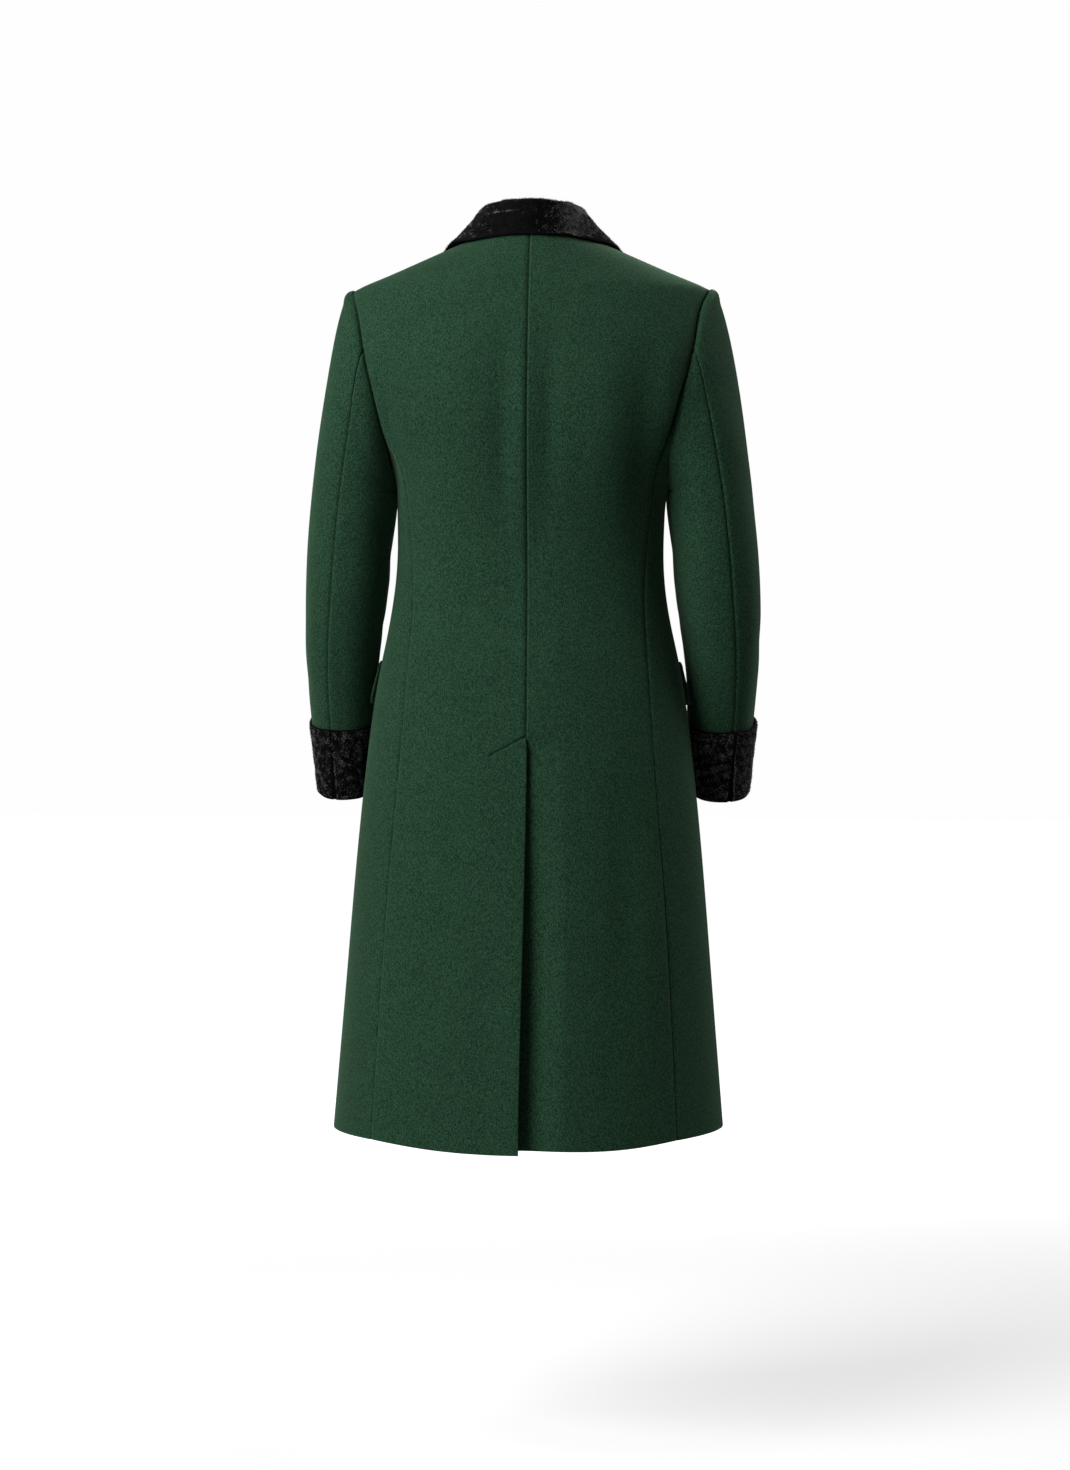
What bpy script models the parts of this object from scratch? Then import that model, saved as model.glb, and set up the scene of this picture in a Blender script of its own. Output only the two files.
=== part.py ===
"""A long wool coat in its worn, hollow form, made as separately cut and sewn pieces.

Metres, +Z up, front towards -Y, the coat's own left towards +X. The origin is the middle of the neck,
just under the level of its seam, where the coat is carried.
"""

import math

import bmesh
import bpy
import numpy as np

OBJECT_NAME = "long_wool_coat"

# Walls and the spaces between pieces
WOOL = 0.0025
PILE = 0.0040
CUFF = 0.0028
FLAP = 0.0028
SEAM_GAP = 0.0003
LAY_GAP = 0.0006
COLLAR_GAP = 0.0014

# Heights
HEM_Z = -1.160
VENT_TOP_Z = -0.646
NECK_Z = 0.005

# The closed form of body and skirt: one row a level section, from hem to neck
FORM_COLUMNS = ("z", "half_width", "back_y", "front_y", "side_y", "squareness")
FORM = (
    (HEM_Z, 0.2540, 0.1860, -0.1900, 0.000, 2.00),
    (-0.950, 0.2365, 0.1640, -0.1720, 0.003, 2.06),
    (-0.800, 0.2240, 0.1510, -0.1610, 0.006, 2.12),
    (-0.700, 0.2140, 0.1430, -0.1550, 0.008, 2.18),
    (-0.620, 0.2045, 0.1340, -0.1500, 0.008, 2.23),
    (-0.550, 0.1930, 0.1240, -0.1455, 0.006, 2.28),
    (-0.500, 0.1820, 0.1170, -0.1425, 0.004, 2.34),
    (-0.450, 0.1742, 0.1130, -0.1400, 0.002, 2.35),
    (-0.410, 0.1720, 0.1135, -0.1390, 0.000, 2.35),
    (-0.370, 0.1728, 0.1180, -0.1395, 0.000, 2.36),
    (-0.335, 0.1748, 0.1235, -0.1410, 0.000, 2.38),
    (-0.300, 0.1815, 0.1290, -0.1430, 0.000, 2.40),
    (-0.250, 0.2064, 0.1350, -0.1445, 0.000, 2.40),
    (-0.210, 0.2250, 0.1355, -0.1430, 0.000, 2.35),
    (-0.170, 0.2380, 0.1320, -0.1370, 0.000, 2.30),
    (-0.135, 0.2430, 0.1260, -0.1270, 0.000, 2.22),
    (-0.105, 0.2425, 0.1180, -0.1140, 0.000, 2.13),
    (-0.082, 0.2395, 0.1102, -0.1025, 0.000, 2.07),
    (-0.067, 0.2305, 0.1044, -0.0935, 0.000, 2.03),
    (-0.055, 0.2045, 0.0992, -0.0850, 0.000, 2.00),
    (-0.030, 0.1465, 0.0872, -0.0710, 0.000, 2.00),
    (0.005, 0.0660, 0.0690, -0.0560, 0.000, 2.00),
)

# Side body seams, as shares of the half width
SEAM_COLUMNS = ("z", "back_share", "front_share")
SIDE_SEAMS = (
    (HEM_Z, 0.764, 0.800),
    (-0.850, 0.773, 0.805),
    (-0.680, 0.767, 0.805),
    (-0.546, 0.795, 0.815),
    (-0.460, 0.845, 0.835),
    (-0.400, 0.878, 0.855),
    (-0.335, 0.900, 0.885),
)

# Soft folds of the back, the same on both sides
FOLD_COLUMNS = ("x_top", "x_foot", "z_top", "z_foot", "half_width", "height")
FOLDS = (
    (0.000, 0.000, -0.10, -0.42, 0.012, 0.0012),
    (0.026, 0.025, -0.10, -0.42, 0.014, -0.0022),
    (0.158, 0.138, -0.15, -0.42, 0.017, -0.0032),
    (0.182, 0.160, -0.15, -0.38, 0.014, 0.0016),
)

# Armhole: an oval on the side of the form
ARMHOLE_TOP_Z = -0.0665
ARMHOLE_FOOT_Z = -0.300
ARMHOLE_BACK = 0.071
ARMHOLE_FRONT = 0.070
SIDE_BODY_TURN = math.radians(125)
SIDE_BODY_FADE_Z = -0.460
HIND_SEAM_STEP = 4

# Vent in the centre back seam, and the columns of cloth beside that seam
VENT_SLANT = 0.022
VENT_UNDERLAP = 0.050
VENT_STEP = 0.0036
VENT_DEPTH = 0.0095
VENT_PROUD = 0.0030
VENT_SWING = 0.0060
VENT_DROP = 0.0060
VENT_FADE = 0.060
VENT_REACH = 0.055
SAG_REACH = 0.200
SAG_TOP_Z = -0.800
HEM_RISE = 0.009
SEAM_STRIP_X = (0.030, 0.016, 0.006, 0.000)
UNDERLAP_X = (0.030, 0.012, -0.014, -VENT_UNDERLAP)

# Closed front, left over right, and the line on which its top is turned back
OVERLAP = 0.028
FRONT_STEP = 0.0040
FRONT_STEP_REACH = 0.085
BREAK_Z = -0.335
ROLL_TOP_X = 0.047
ROLL_FADE_Z = (-0.03, -0.12)

# Sleeve below the biceps: level of each ring's centre, place, radii and forward tilt
ARM_COLUMNS = ("z", "x", "y", "radius_x", "radius_y", "tilt")
ARM = (
    (-0.335, 0.2323, 0.0000, 0.0543, 0.0760, 0.0),
    (-0.400, 0.2372, -0.0030, 0.0546, 0.0735, 3.0),
    (-0.468, 0.2417, -0.0090, 0.0528, 0.0690, 7.0),
    (-0.527, 0.2466, -0.0200, 0.0490, 0.0635, 11.0),
    (-0.585, 0.2486, -0.0350, 0.0445, 0.0590, 14.0),
    (-0.640, 0.2480, -0.0520, 0.0411, 0.0550, 16.0),
    (-0.715, 0.2484, -0.0770, 0.0348, 0.0500, 17.0),
)
BICEPS_Z = ARM[0][0]
WRIST_Z = ARM[-1][0]
HEAD_PULL = 0.030
CAP_PULL = 1.25

# Seam down the back of the sleeve: length along the sleeve, angle in degrees
HIND_SEAM = ((0.7, 79.0), (1.0, 75.0), (1.4, 70.0), (2.0, 72.0))

# Cuffs
CUFF_TOP_Z = -0.623
CUFF_SLIT = 0.0012

# Collar behind, on the neck seam: the fold above that seam and the outer edge of the fall
COLLAR_BACK_COLUMNS = ("seam_x", "rise", "lean", "edge_x", "edge_z")
COLLAR_BACK = (
    (0.0000, 0.0345, -0.0040, 0.0000, -0.0060),
    (0.0330, 0.0340, -0.0040, 0.0480, -0.0078),
    (0.0571, 0.0315, -0.0055, 0.0890, -0.0120),
    (0.0660, 0.0280, -0.0065, 0.1160, -0.0122),
)

# Collar in front, on the line where the fronts turn back, down to the break
COLLAR_FRONT_COLUMNS = ("seam_z", "rise", "lean", "edge_x", "edge_z", "lift")
COLLAR_FRONT = (
    (NECK_Z, 0.0160, 0.0000, 0.1360, -0.0480, 0.0036),
    (-0.0600, 0.0030, 0.0065, 0.1450, -0.1000, 0.0034),
    (-0.1400, 0.0010, 0.0070, 0.1350, -0.1850, 0.0034),
    (-0.2300, 0.0000, 0.0070, 0.0920, -0.2620, 0.0034),
    (-0.3300, 0.0000, 0.0070, -0.0180, -0.3380, 0.0034),
)
FOLD_RADIUS = 0.0045
FOLD_SHARE = 0.45
FOLD_STEPS = 3
COLLAR_STEPS = 4
FALL_STEPS = 5
TIP_WIDTH = 0.020
CLEARING_PASSES = 4

# Pocket flaps
FLAP_TOP_Z = -0.548
FLAP_HEIGHT = 0.056
FLAP_REAR_TURN = math.radians(2)
FLAP_FRONT_X = 0.105
FLAP_STAND_OFF = 0.0030

# Buttons
BUTTON_LEVELS = (-0.372, -0.502, -0.632)
BUTTON_RADIUS = 0.0150
BUTTON_THICK = 0.0045
BUTTON_BEVEL = 0.0010
BUTTON_SIDES = 20

# How finely each piece is cut up
SKIRT_ROWS = 9
WAIST_ROWS = 11
WAIST_CROWDING = 1.5
ARMHOLE_ROWS = 10
SHOULDER_ROWS = 4
PANEL_COLUMNS = 7
SIDE_COLUMNS = 7
CAP_ROWS = 6
ARM_ROWS = 9
CUFF_ROWS = 4
FLAP_ROWS = 3
FLAP_COLUMNS = 8

# Finish of each cloth: colour, roughness
WOOL_LOOK = ((0.020, 0.058, 0.032, 1), 0.9)
PILE_LOOK = ((0.006, 0.006, 0.006, 1), 0.8)
BUTTON_LOOK = ((0.010, 0.012, 0.010, 1), 0.4)

NUDGE = 1e-4


# Curves and small helpers


def spline(knots, values):
    """A smooth curve through the values at the knots, as a function of a number or an array."""
    order = np.argsort(knots)
    knots = np.array(knots, float)[order]
    values = np.array(values, float)[order]
    gap = np.diff(knots)
    rise = np.diff(values) / gap
    matrix = np.eye(len(knots))
    pull = np.zeros(len(knots))
    for i in range(1, len(knots) - 1):
        matrix[i, i - 1:i + 2] = gap[i - 1], 2 * (gap[i - 1] + gap[i]), gap[i]
        pull[i] = 6 * (rise[i] - rise[i - 1])
    bend = np.linalg.solve(matrix, pull)

    def read(at):
        at = np.asarray(at, float)
        i = np.clip(np.searchsorted(knots, at) - 1, 0, len(gap) - 1)
        along = at - knots[i]
        slope = rise[i] - gap[i] * (2 * bend[i] + bend[i + 1]) / 6
        turn = (bend[i + 1] - bend[i]) / (6 * gap[i])
        return values[i] + along * (slope + along * (bend[i] / 2 + along * turn))

    return read


def glide(knots, values):
    """A curve through the values at the knots that never swings past them."""
    gap = np.diff(knots)
    rise = np.diff(values) / gap
    meet = rise[:-1] * rise[1:]
    tangent = np.zeros(len(knots))
    tangent[1:-1] = np.where(meet > 0, 2 * meet / np.where(meet > 0, rise[:-1] + rise[1:], 1), 0)
    tangent[0], tangent[-1] = rise[0], rise[-1]

    def read(at):
        i = np.clip(np.searchsorted(knots, at) - 1, 0, len(gap) - 1)
        s = (at - knots[i]) / gap[i]
        start = values[i] + s * gap[i] * tangent[i]
        end = values[i + 1] - (1 - s) * gap[i] * tangent[i + 1]
        return start + (end - start) * s * s * (3 - 2 * s)

    return read


def curves(columns, table):
    """A curve for each column of a table, over its first column."""
    picked = list(zip(*table))
    return {name: spline(picked[0], values) for name, values in zip(columns[1:], picked[1:])}


def smooth(start, end, at):
    """0 at start, 1 at end, with a soft step between."""
    share = np.clip((np.asarray(at, float) - start) / (end - start), 0, 1)
    return share * share * (3 - 2 * share)


def unit(vectors):
    return vectors / np.linalg.norm(vectors, axis=-1, keepdims=True)


def outward(surface, first, second):
    """The outward direction of a surface of two numbers."""
    across = surface(first + NUDGE, second) - surface(first - NUDGE, second)
    along = surface(first, second + NUDGE) - surface(first, second - NUDGE)
    return unit(np.cross(across, along))


# The form of body and skirt


FORM_CURVE = curves(FORM_COLUMNS, FORM)


def body(turn, z):
    """A point of the closed form: turn 0 is the coat's left side, a quarter turn its back."""
    turn, z = np.broadcast_arrays(np.asarray(turn, float), np.asarray(z, float))
    across = np.cos(turn)
    along = np.sin(turn)
    power = 2 / FORM_CURVE["squareness"](z)
    side_y = FORM_CURVE["side_y"](z)
    depth = np.where(along > 0, FORM_CURVE["back_y"](z) - side_y, side_y - FORM_CURVE["front_y"](z))
    x = FORM_CURVE["half_width"](z) * np.sign(across) * np.abs(across) ** power
    y = side_y + depth * np.sign(along) * np.abs(along) ** power
    return np.stack([x, y, z], axis=-1)


def turn_at_x(x, z):
    """The turn, on the back half, at which the form's section at z reaches x."""
    share = np.clip(np.asarray(x, float) / FORM_CURVE["half_width"](z), -1, 1)
    return np.arccos(np.sign(share) * np.abs(share) ** (FORM_CURVE["squareness"](z) / 2))


def turn_at_y(y, z):
    side_y = FORM_CURVE["side_y"](z)
    depth = np.where(y > side_y, FORM_CURVE["back_y"](z) - side_y, side_y - FORM_CURVE["front_y"](z))
    share = np.clip((y - side_y) / depth, -1, 1)
    return np.arcsin(np.sign(share) * np.abs(share) ** (FORM_CURVE["squareness"](z) / 2))


def folds(points):
    """How far the soft folds of the back push the cloth out."""
    x = np.abs(points[..., 0])
    z = points[..., 2]
    total = np.zeros_like(x)
    for row in FOLDS:
        fold = dict(zip(FOLD_COLUMNS, row))
        along = np.clip((z - fold["z_foot"]) / (fold["z_top"] - fold["z_foot"]), 0, 1)
        middle = fold["x_foot"] + (fold["x_top"] - fold["x_foot"]) * along
        window = np.sin(math.pi * along) ** 2
        total += fold["height"] * window * np.exp(-((x - middle) / fold["half_width"]) ** 2)
    return total * (points[..., 1] > 0)


def cloth(turn, z, out):
    """Outer and inner points of wool on the form, pushed out by the given distance."""
    points = body(turn, z)
    away = outward(body, turn, z)
    lift = (folds(points) + out)[..., None]
    return points + away * lift, points + away * (lift - WOOL)


# Meshes


def wall(name, outer, inner, material):
    """A closed wall between two grids of points."""
    rows, columns = outer.shape[:2]
    mesh = bmesh.new()
    top = [[mesh.verts.new(point) for point in row] for row in outer]
    under = [[mesh.verts.new(point) for point in row] for row in inner]
    for r in range(rows - 1):
        for c in range(columns - 1):
            mesh.faces.new((top[r][c], top[r][c + 1], top[r + 1][c + 1], top[r + 1][c]))
            mesh.faces.new((under[r][c], under[r + 1][c], under[r + 1][c + 1], under[r][c + 1]))
    border = [(0, c) for c in range(columns)]
    border += [(r, columns - 1) for r in range(1, rows)]
    border += [(rows - 1, c) for c in range(columns - 2, -1, -1)]
    border += [(r, 0) for r in range(rows - 2, 0, -1)]
    for (r, c), (s, d) in zip(border, border[1:] + border[:1]):
        mesh.faces.new((top[s][d], top[r][c], under[r][c], under[s][d]))
    bmesh.ops.recalc_face_normals(mesh, faces=mesh.faces)
    return keep(name, mesh, material)


def keep(name, mesh, material):
    data = bpy.data.meshes.new(name)
    mesh.to_mesh(data)
    mesh.free()
    piece = bpy.data.objects.new(name, data)
    data.materials.append(material)
    COLLECTION.objects.link(piece)
    return piece


def trim(grid):
    """Draws the first and last columns of a grid back from their seams by half a gap."""
    grid = grid.copy()
    grid[:, 0] += unit(grid[:, 1] - grid[:, 0]) * SEAM_GAP / 2
    grid[:, -1] += unit(grid[:, -2] - grid[:, -1]) * SEAM_GAP / 2
    return grid


def sided(grid, side):
    """A grid for the coat's left (side 1) or its mirror image on the right (side -1)."""
    return grid * np.array((side, 1, 1))


def look(name, colour, roughness):
    material = bpy.data.materials.new(name)
    material.use_nodes = True
    shader = material.node_tree.nodes["Principled BSDF"]
    shader.inputs["Base Color"].default_value = colour
    shader.inputs["Roughness"].default_value = roughness
    shader.inputs["Metallic"].default_value = 0.0
    return material


# Where the panels end


def armhole(angle):
    """Turn and height on the form of a point of the armhole: angle 0 is its top, then backwards."""
    middle = (ARMHOLE_TOP_Z + ARMHOLE_FOOT_Z) / 2
    z = middle + (ARMHOLE_TOP_Z - middle) * np.cos(angle)
    reach = np.where(np.sin(angle) > 0, ARMHOLE_BACK, ARMHOLE_FRONT)
    return turn_at_y(reach * np.sin(angle), z), z


SIDE_TOP_Z = float(armhole(SIDE_BODY_TURN)[1])


def side_seam(share_column, armhole_angle):
    """The turn of a side body seam at any height."""
    column = SEAM_COLUMNS.index(share_column)
    heights = [row[0] for row in SIDE_SEAMS]
    x = [row[column] * FORM_CURVE["half_width"](row[0]) for row in SIDE_SEAMS]
    turns = list(turn_at_x(x, heights))
    return spline(heights + [SIDE_TOP_Z], turns + [abs(float(armhole(armhole_angle)[0]))])


BACK_SEAM = side_seam("back_share", SIDE_BODY_TURN)
FRONT_SEAM = side_seam("front_share", -SIDE_BODY_TURN)

SKIRT_Z = np.linspace(HEM_Z, VENT_TOP_Z - VENT_SLANT, SKIRT_ROWS)
WAIST_TALL = VENT_TOP_Z + VENT_SLANT - SIDE_TOP_Z
WAIST_Z = SIDE_TOP_Z + WAIST_TALL * np.linspace(1, 0, WAIST_ROWS) ** WAIST_CROWDING
LOWER_Z = np.concatenate([SKIRT_Z, [VENT_TOP_Z], WAIST_Z])
BACK_ANGLES = np.linspace(SIDE_BODY_TURN, 0, ARMHOLE_ROWS + 1)[1:]
SHOULDER_Z = np.linspace(ARMHOLE_TOP_Z, NECK_Z, SHOULDER_ROWS + 1)[1:]
PANEL_Z = np.concatenate([LOWER_Z, armhole(BACK_ANGLES)[1], SHOULDER_Z])


def panel_edge(seam, sign):
    """The turn of a back or front panel's outer edge at each of the panel rows."""
    turns = np.abs(armhole(sign * BACK_ANGLES)[0])
    return np.concatenate([seam(LOWER_Z), turns, np.zeros(SHOULDER_ROWS)])


def roll_x(z):
    """The front edge of a front panel: straight up, then along the turned-back top."""
    share = np.clip((z - BREAK_Z) / (NECK_Z - BREAK_Z), 0, 1)
    return -OVERLAP + (ROLL_TOP_X + OVERLAP) * share


# Panels of body and skirt


def hem_rise(turn, z):
    """How far the hem is drawn up at the sides, down to nothing at the front seam."""
    forward = np.where(turn < 0, turn / FRONT_SEAM(z), 0.0)
    share = np.where(turn < 0, np.cos(np.clip(forward, -1, 0) * math.pi / 2), np.cos(turn))
    return HEM_RISE * share ** 2 * smooth(SAG_TOP_Z, HEM_Z, z)


def back_panel(name, side, material):
    """A back panel; on the left it laps over the vent, on the right it runs on underneath."""
    z = PANEL_Z[:, None]
    open_below = (PANEL_Z < VENT_TOP_Z)[:, None]
    deep = smooth(VENT_TOP_Z, VENT_TOP_Z - VENT_FADE, z)
    swing = VENT_SWING * smooth(VENT_TOP_Z, HEM_Z, z)
    if side > 0:
        x = np.array(SEAM_STRIP_X) + swing
    else:
        x = np.where(open_below, UNDERLAP_X, SEAM_STRIP_X)
    near = turn_at_x(x, z)
    share = np.linspace(0, 1, PANEL_COLUMNS)
    edge = panel_edge(BACK_SEAM, 1)[:, None]
    turn = np.concatenate([edge + (near[:, :1] - edge) * share[:-1], near], axis=1)
    from_middle = body(turn, z)[..., 0]
    if side > 0:
        out = VENT_PROUD * deep * smooth(VENT_REACH, 0.0, from_middle)
    else:
        below = smooth(VENT_TOP_Z + VENT_SLANT, VENT_TOP_Z, z)
        sunk = VENT_STEP * below + (VENT_DEPTH - VENT_STEP) * deep
        out = -sunk * smooth(VENT_REACH, SEAM_STRIP_X[2], from_middle)
    sag = VENT_DROP * smooth(SAG_REACH, 0.0, from_middle) * smooth(SAG_TOP_Z, HEM_Z, z)
    level = z + hem_rise(turn, z) - (sag if side > 0 else 0)
    outer, inner = cloth(turn, level, out)
    wall(name, sided(trim(outer), side), sided(trim(inner), side), material)


def side_panel(name, side, material):
    """A side body, from the hem up to the foot of the armhole."""
    share = np.linspace(0, 1, SIDE_COLUMNS + 1)
    top_turn, top_z = armhole(SIDE_BODY_TURN + (2 * math.pi - 2 * SIDE_BODY_TURN) * share)
    top_share = (top_turn - top_turn[0]) / (top_turn[-1] - top_turn[0])
    z = LOWER_Z[:, None]
    blend = smooth(SIDE_BODY_FADE_Z, SIDE_TOP_Z, z)
    share = share + (top_share - share) * blend
    turn = BACK_SEAM(z) - (BACK_SEAM(z) + FRONT_SEAM(z)) * share
    level = z + hem_rise(turn, z) + (top_z - SIDE_TOP_Z) * blend
    outer, inner = cloth(turn, level, 0.0)
    wall(name, sided(trim(outer), side), sided(trim(inner), side), material)


def front_panel(name, side, material):
    """A front: the left one laps over, the right one runs on underneath."""
    z = PANEL_Z[:, None]
    near = turn_at_x(roll_x(z), z)
    edge = panel_edge(FRONT_SEAM, -1)[:, None]
    share = np.linspace(0, 1, PANEL_COLUMNS + 2)
    turn = -(edge + (near - edge) * share)
    from_middle = body(turn, z)[..., 0]
    near_edge = smooth(FRONT_STEP_REACH, FRONT_STEP_REACH / 2, from_middle)
    sunk = FRONT_STEP * near_edge * smooth(*ROLL_FADE_Z, z)
    outer, inner = cloth(turn, z, 0.0 if side > 0 else -sunk)
    wall(name, sided(trim(outer), side), sided(trim(inner), side), material)


# Sleeves and cuffs


ARM_CURVE = curves(ARM_COLUMNS, ARM)
ARM_LENGTH = BICEPS_Z - WRIST_Z
LOW_ANGLES = np.linspace(SIDE_BODY_TURN, 2 * math.pi - SIDE_BODY_TURN, SIDE_COLUMNS + 1)
HIND_ANGLES = np.linspace(0, SIDE_BODY_TURN, ARMHOLE_ROWS + 1)
HIND_COLUMN = ARMHOLE_ROWS - HIND_SEAM_STEP
TOP_ANGLES = np.concatenate([-HIND_ANGLES[:0:-1], HIND_ANGLES[:HIND_COLUMN + 1]])
UNDER_ANGLES = np.concatenate([HIND_ANGLES[HIND_COLUMN:-1], LOW_ANGLES])


def arm(angle, z):
    """A point of the sleeve below the biceps: angle 0 is its outer side, a quarter turn the back."""
    tilt = np.radians(ARM_CURVE["tilt"](z))
    reach = ARM_CURVE["radius_y"](z) * np.sin(angle)
    x = ARM_CURVE["x"](z) + ARM_CURVE["radius_x"](z) * np.cos(angle)
    y = ARM_CURVE["y"](z) + reach * np.cos(tilt)
    return np.stack(np.broadcast_arrays(x, y, z - reach * np.sin(tilt)), axis=-1)


def cap(angle, share):
    """A point of the sleeve head, between the armhole (share 0) and the biceps (share 1)."""
    turn, z = armhole(angle)
    zero = np.zeros_like(angle)
    leave = np.stack([HEAD_PULL * (1 + np.cos(angle)), HEAD_PULL * np.sin(angle),
                      HEAD_PULL * np.cos(angle)], axis=-1)
    start = cloth(turn, z, 0.0)[0] + (unit(leave + NUDGE) + outward(body, turn, z)) * SEAM_GAP
    end = arm(angle, BICEPS_Z + zero)
    reach = np.linalg.norm(end - start, axis=-1, keepdims=True)
    arrive = unit(arm(angle, BICEPS_Z - NUDGE + zero) - end) * reach * CAP_PULL
    s = np.asarray(share, float)[..., None]
    keep_start = 2 * s ** 3 - 3 * s ** 2 + 1
    pull_start = s ** 3 - 2 * s ** 2 + s
    pull_end = s ** 3 - s ** 2
    return start * keep_start + leave * pull_start + end * (1 - keep_start) + arrive * pull_end


def sleeve(angle, length):
    """A point of the sleeve: length runs from 0 at the armhole by 1 at the biceps to 2 at the wrist."""
    angle, length = np.broadcast_arrays(np.asarray(angle, float), np.asarray(length, float))
    upper = cap(angle, np.clip(length, 0, 1))
    lower = arm(angle, BICEPS_Z - ARM_LENGTH * np.clip(length - 1, 0, None))
    return np.where((length < 1)[..., None], upper, lower)


def hind_seam(length):
    """The angle of the seam down the back of the sleeve."""
    top = math.degrees(HIND_ANGLES[HIND_COLUMN])
    curve = spline([0.0] + [row[0] for row in HIND_SEAM], [top] + [row[1] for row in HIND_SEAM])
    return np.radians(curve(length))


def sleeve_away(angle, length):
    """The outward direction of the sleeve."""
    early = np.maximum(length, 2 * NUDGE)
    return -outward(sleeve, angle, early)


def swung(angles, length):
    """Angles of the armhole, drawn along with the hind seam as it runs down the sleeve."""
    hind = float(hind_seam(0.0))
    fore = np.where(angles > hind, 2 * math.pi, 0) - SIDE_BODY_TURN
    share = 1 - np.abs(angles - hind) / np.abs(fore - hind)
    return angles + (hind_seam(length) - hind) * share


def sleeve_piece(name, side, angles, material):
    """A sleeve piece whose columns start at the given angles of the armhole."""
    head = np.linspace(0, 1, CAP_ROWS + 1)
    length = np.concatenate([head, np.linspace(1, 2, ARM_ROWS + 1)[1:]])[:, None]
    angle = swung(angles, length)
    outer = sleeve(angle, length)
    inner = outer - sleeve_away(angle, length) * WOOL
    wall(name, sided(trim(outer), side), sided(trim(inner), side), material)


def cuff(name, side, material):
    """A turned-back cuff round the sleeve's end, open at its back seam."""
    top = 1 + (BICEPS_Z - CUFF_TOP_Z) / ARM_LENGTH
    length = np.linspace(top, 2, CUFF_ROWS + 1)[:, None]
    under = swung(UNDER_ANGLES, length)
    over = swung(TOP_ANGLES, length) + 2 * math.pi
    angle = np.concatenate([under, over[:, 1:]], axis=1)
    angle[:, 0] += CUFF_SLIT / ARM[-1][3]
    angle[:, -1] -= CUFF_SLIT / ARM[-1][3]
    away = sleeve_away(angle, length)
    inner = sleeve(angle, length) + away * LAY_GAP
    wall(name, sided(inner + away * CUFF, side), sided(inner, side), material)


# Collar


def clear_of_body(points, space):
    """Moves points out of the form until they stand clear of it by the given space."""
    points = points.copy()

    def depth(at):
        z = np.minimum(at[..., 2], NECK_Z)
        side_y = FORM_CURVE["side_y"](z)
        reach = np.where(at[..., 1] > side_y, FORM_CURVE["back_y"](z) - side_y,
                         side_y - FORM_CURVE["front_y"](z))
        power = FORM_CURVE["squareness"](z)
        share_x = np.abs(at[..., 0]) / FORM_CURVE["half_width"](z)
        share_y = np.abs(at[..., 1] - side_y) / reach
        return (share_x ** power + share_y ** power) ** (1 / power) - 1

    for _ in range(CLEARING_PASSES):
        slope = np.stack([depth(points + step) - depth(points - step) for step in NUDGE * np.eye(3)],
                         axis=-1) / (2 * NUDGE)
        steep = np.linalg.norm(slope, axis=-1)
        short = np.maximum(space - depth(points) / steep, 0) * (points[..., 2] < NECK_Z)
        points += slope / steep[..., None] * short[..., None]
    return points


def collar_stations(side):
    """Points of seam, fold and edge on half the collar, from centre back to the break."""
    stations = []
    for row in COLLAR_BACK:
        at = dict(zip(COLLAR_BACK_COLUMNS, row))
        turn = turn_at_x(at["seam_x"], NECK_Z)
        level = unit(outward(body, turn, NECK_Z) * np.array((1, 1, 0)))
        seam = body(turn, NECK_Z + LAY_GAP)
        fold = seam + level * at["lean"] + np.array((0, 0, at["rise"]))
        edge = body(turn_at_x(at["edge_x"], at["edge_z"]), at["edge_z"])
        stations.append((seam, fold, edge))
    for row in COLLAR_FRONT:
        at = dict(zip(COLLAR_FRONT_COLUMNS, row))
        seam_x = float(roll_x(at["seam_z"]))
        edge_x = at["edge_x"]
        if side < 0 and seam_x < LAY_GAP:
            seam_x = PILE - seam_x
            edge_x = max(edge_x, seam_x + TIP_WIDTH)
        turn = -turn_at_x(seam_x, at["seam_z"])
        away = outward(body, turn, at["seam_z"])
        seam = body(turn, at["seam_z"]) + away * at["lift"]
        fold = seam + away * at["lean"] + np.array((0, 0, at["rise"]))
        edge = body(-turn_at_x(edge_x, at["edge_z"]), at["edge_z"])
        stations.append((seam, fold, edge))
    return sided(np.array(stations), side)


def collar_lines():
    """Seam, fold and edge of the collar, as smooth lines from the right break round to the left."""
    stations = np.concatenate([collar_stations(-1)[:0:-1], collar_stations(1)])
    count = len(stations)
    at = np.linspace(0, count - 1, (count - 1) * COLLAR_STEPS + 1)
    lines = [glide(np.arange(count), column)(at) for column in stations.reshape(count, -1).T]
    return np.stack(lines, axis=-1).reshape(-1, 3, 3).swapaxes(0, 1)


def collar_sheet():
    """The collar's middle surface: up the stand, over the fold and down the fall."""
    seam, fold, edge = collar_lines()
    up = unit(fold - seam)
    tall = np.linalg.norm(fold - seam, axis=-1, keepdims=True)
    out = edge - seam
    out = unit(out - up * np.sum(out * up, axis=-1, keepdims=True))
    radius = np.minimum(FOLD_RADIUS, FOLD_SHARE * tall)
    path = [seam, (seam + fold) / 2]
    for angle in np.linspace(0, math.pi, FOLD_STEPS + 1):
        path.append(fold + radius * (up * (math.sin(angle) - 1) + out * (1 - math.cos(angle))))
    start = path[-1]
    for share in np.linspace(0, 1, FALL_STEPS + 1)[1:]:
        path.append(clear_of_body(start + (edge - start) * share, PILE / 2 + COLLAR_GAP))
    return np.stack(path, axis=1)


def collar(name, material):
    sheet = collar_sheet()
    along = np.gradient(sheet, axis=0)
    down = np.gradient(sheet, axis=1)
    away = unit(np.cross(along, down)) * PILE / 2
    wall(name, sheet + away, sheet - away, material)


# What lies on the fronts


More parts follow.
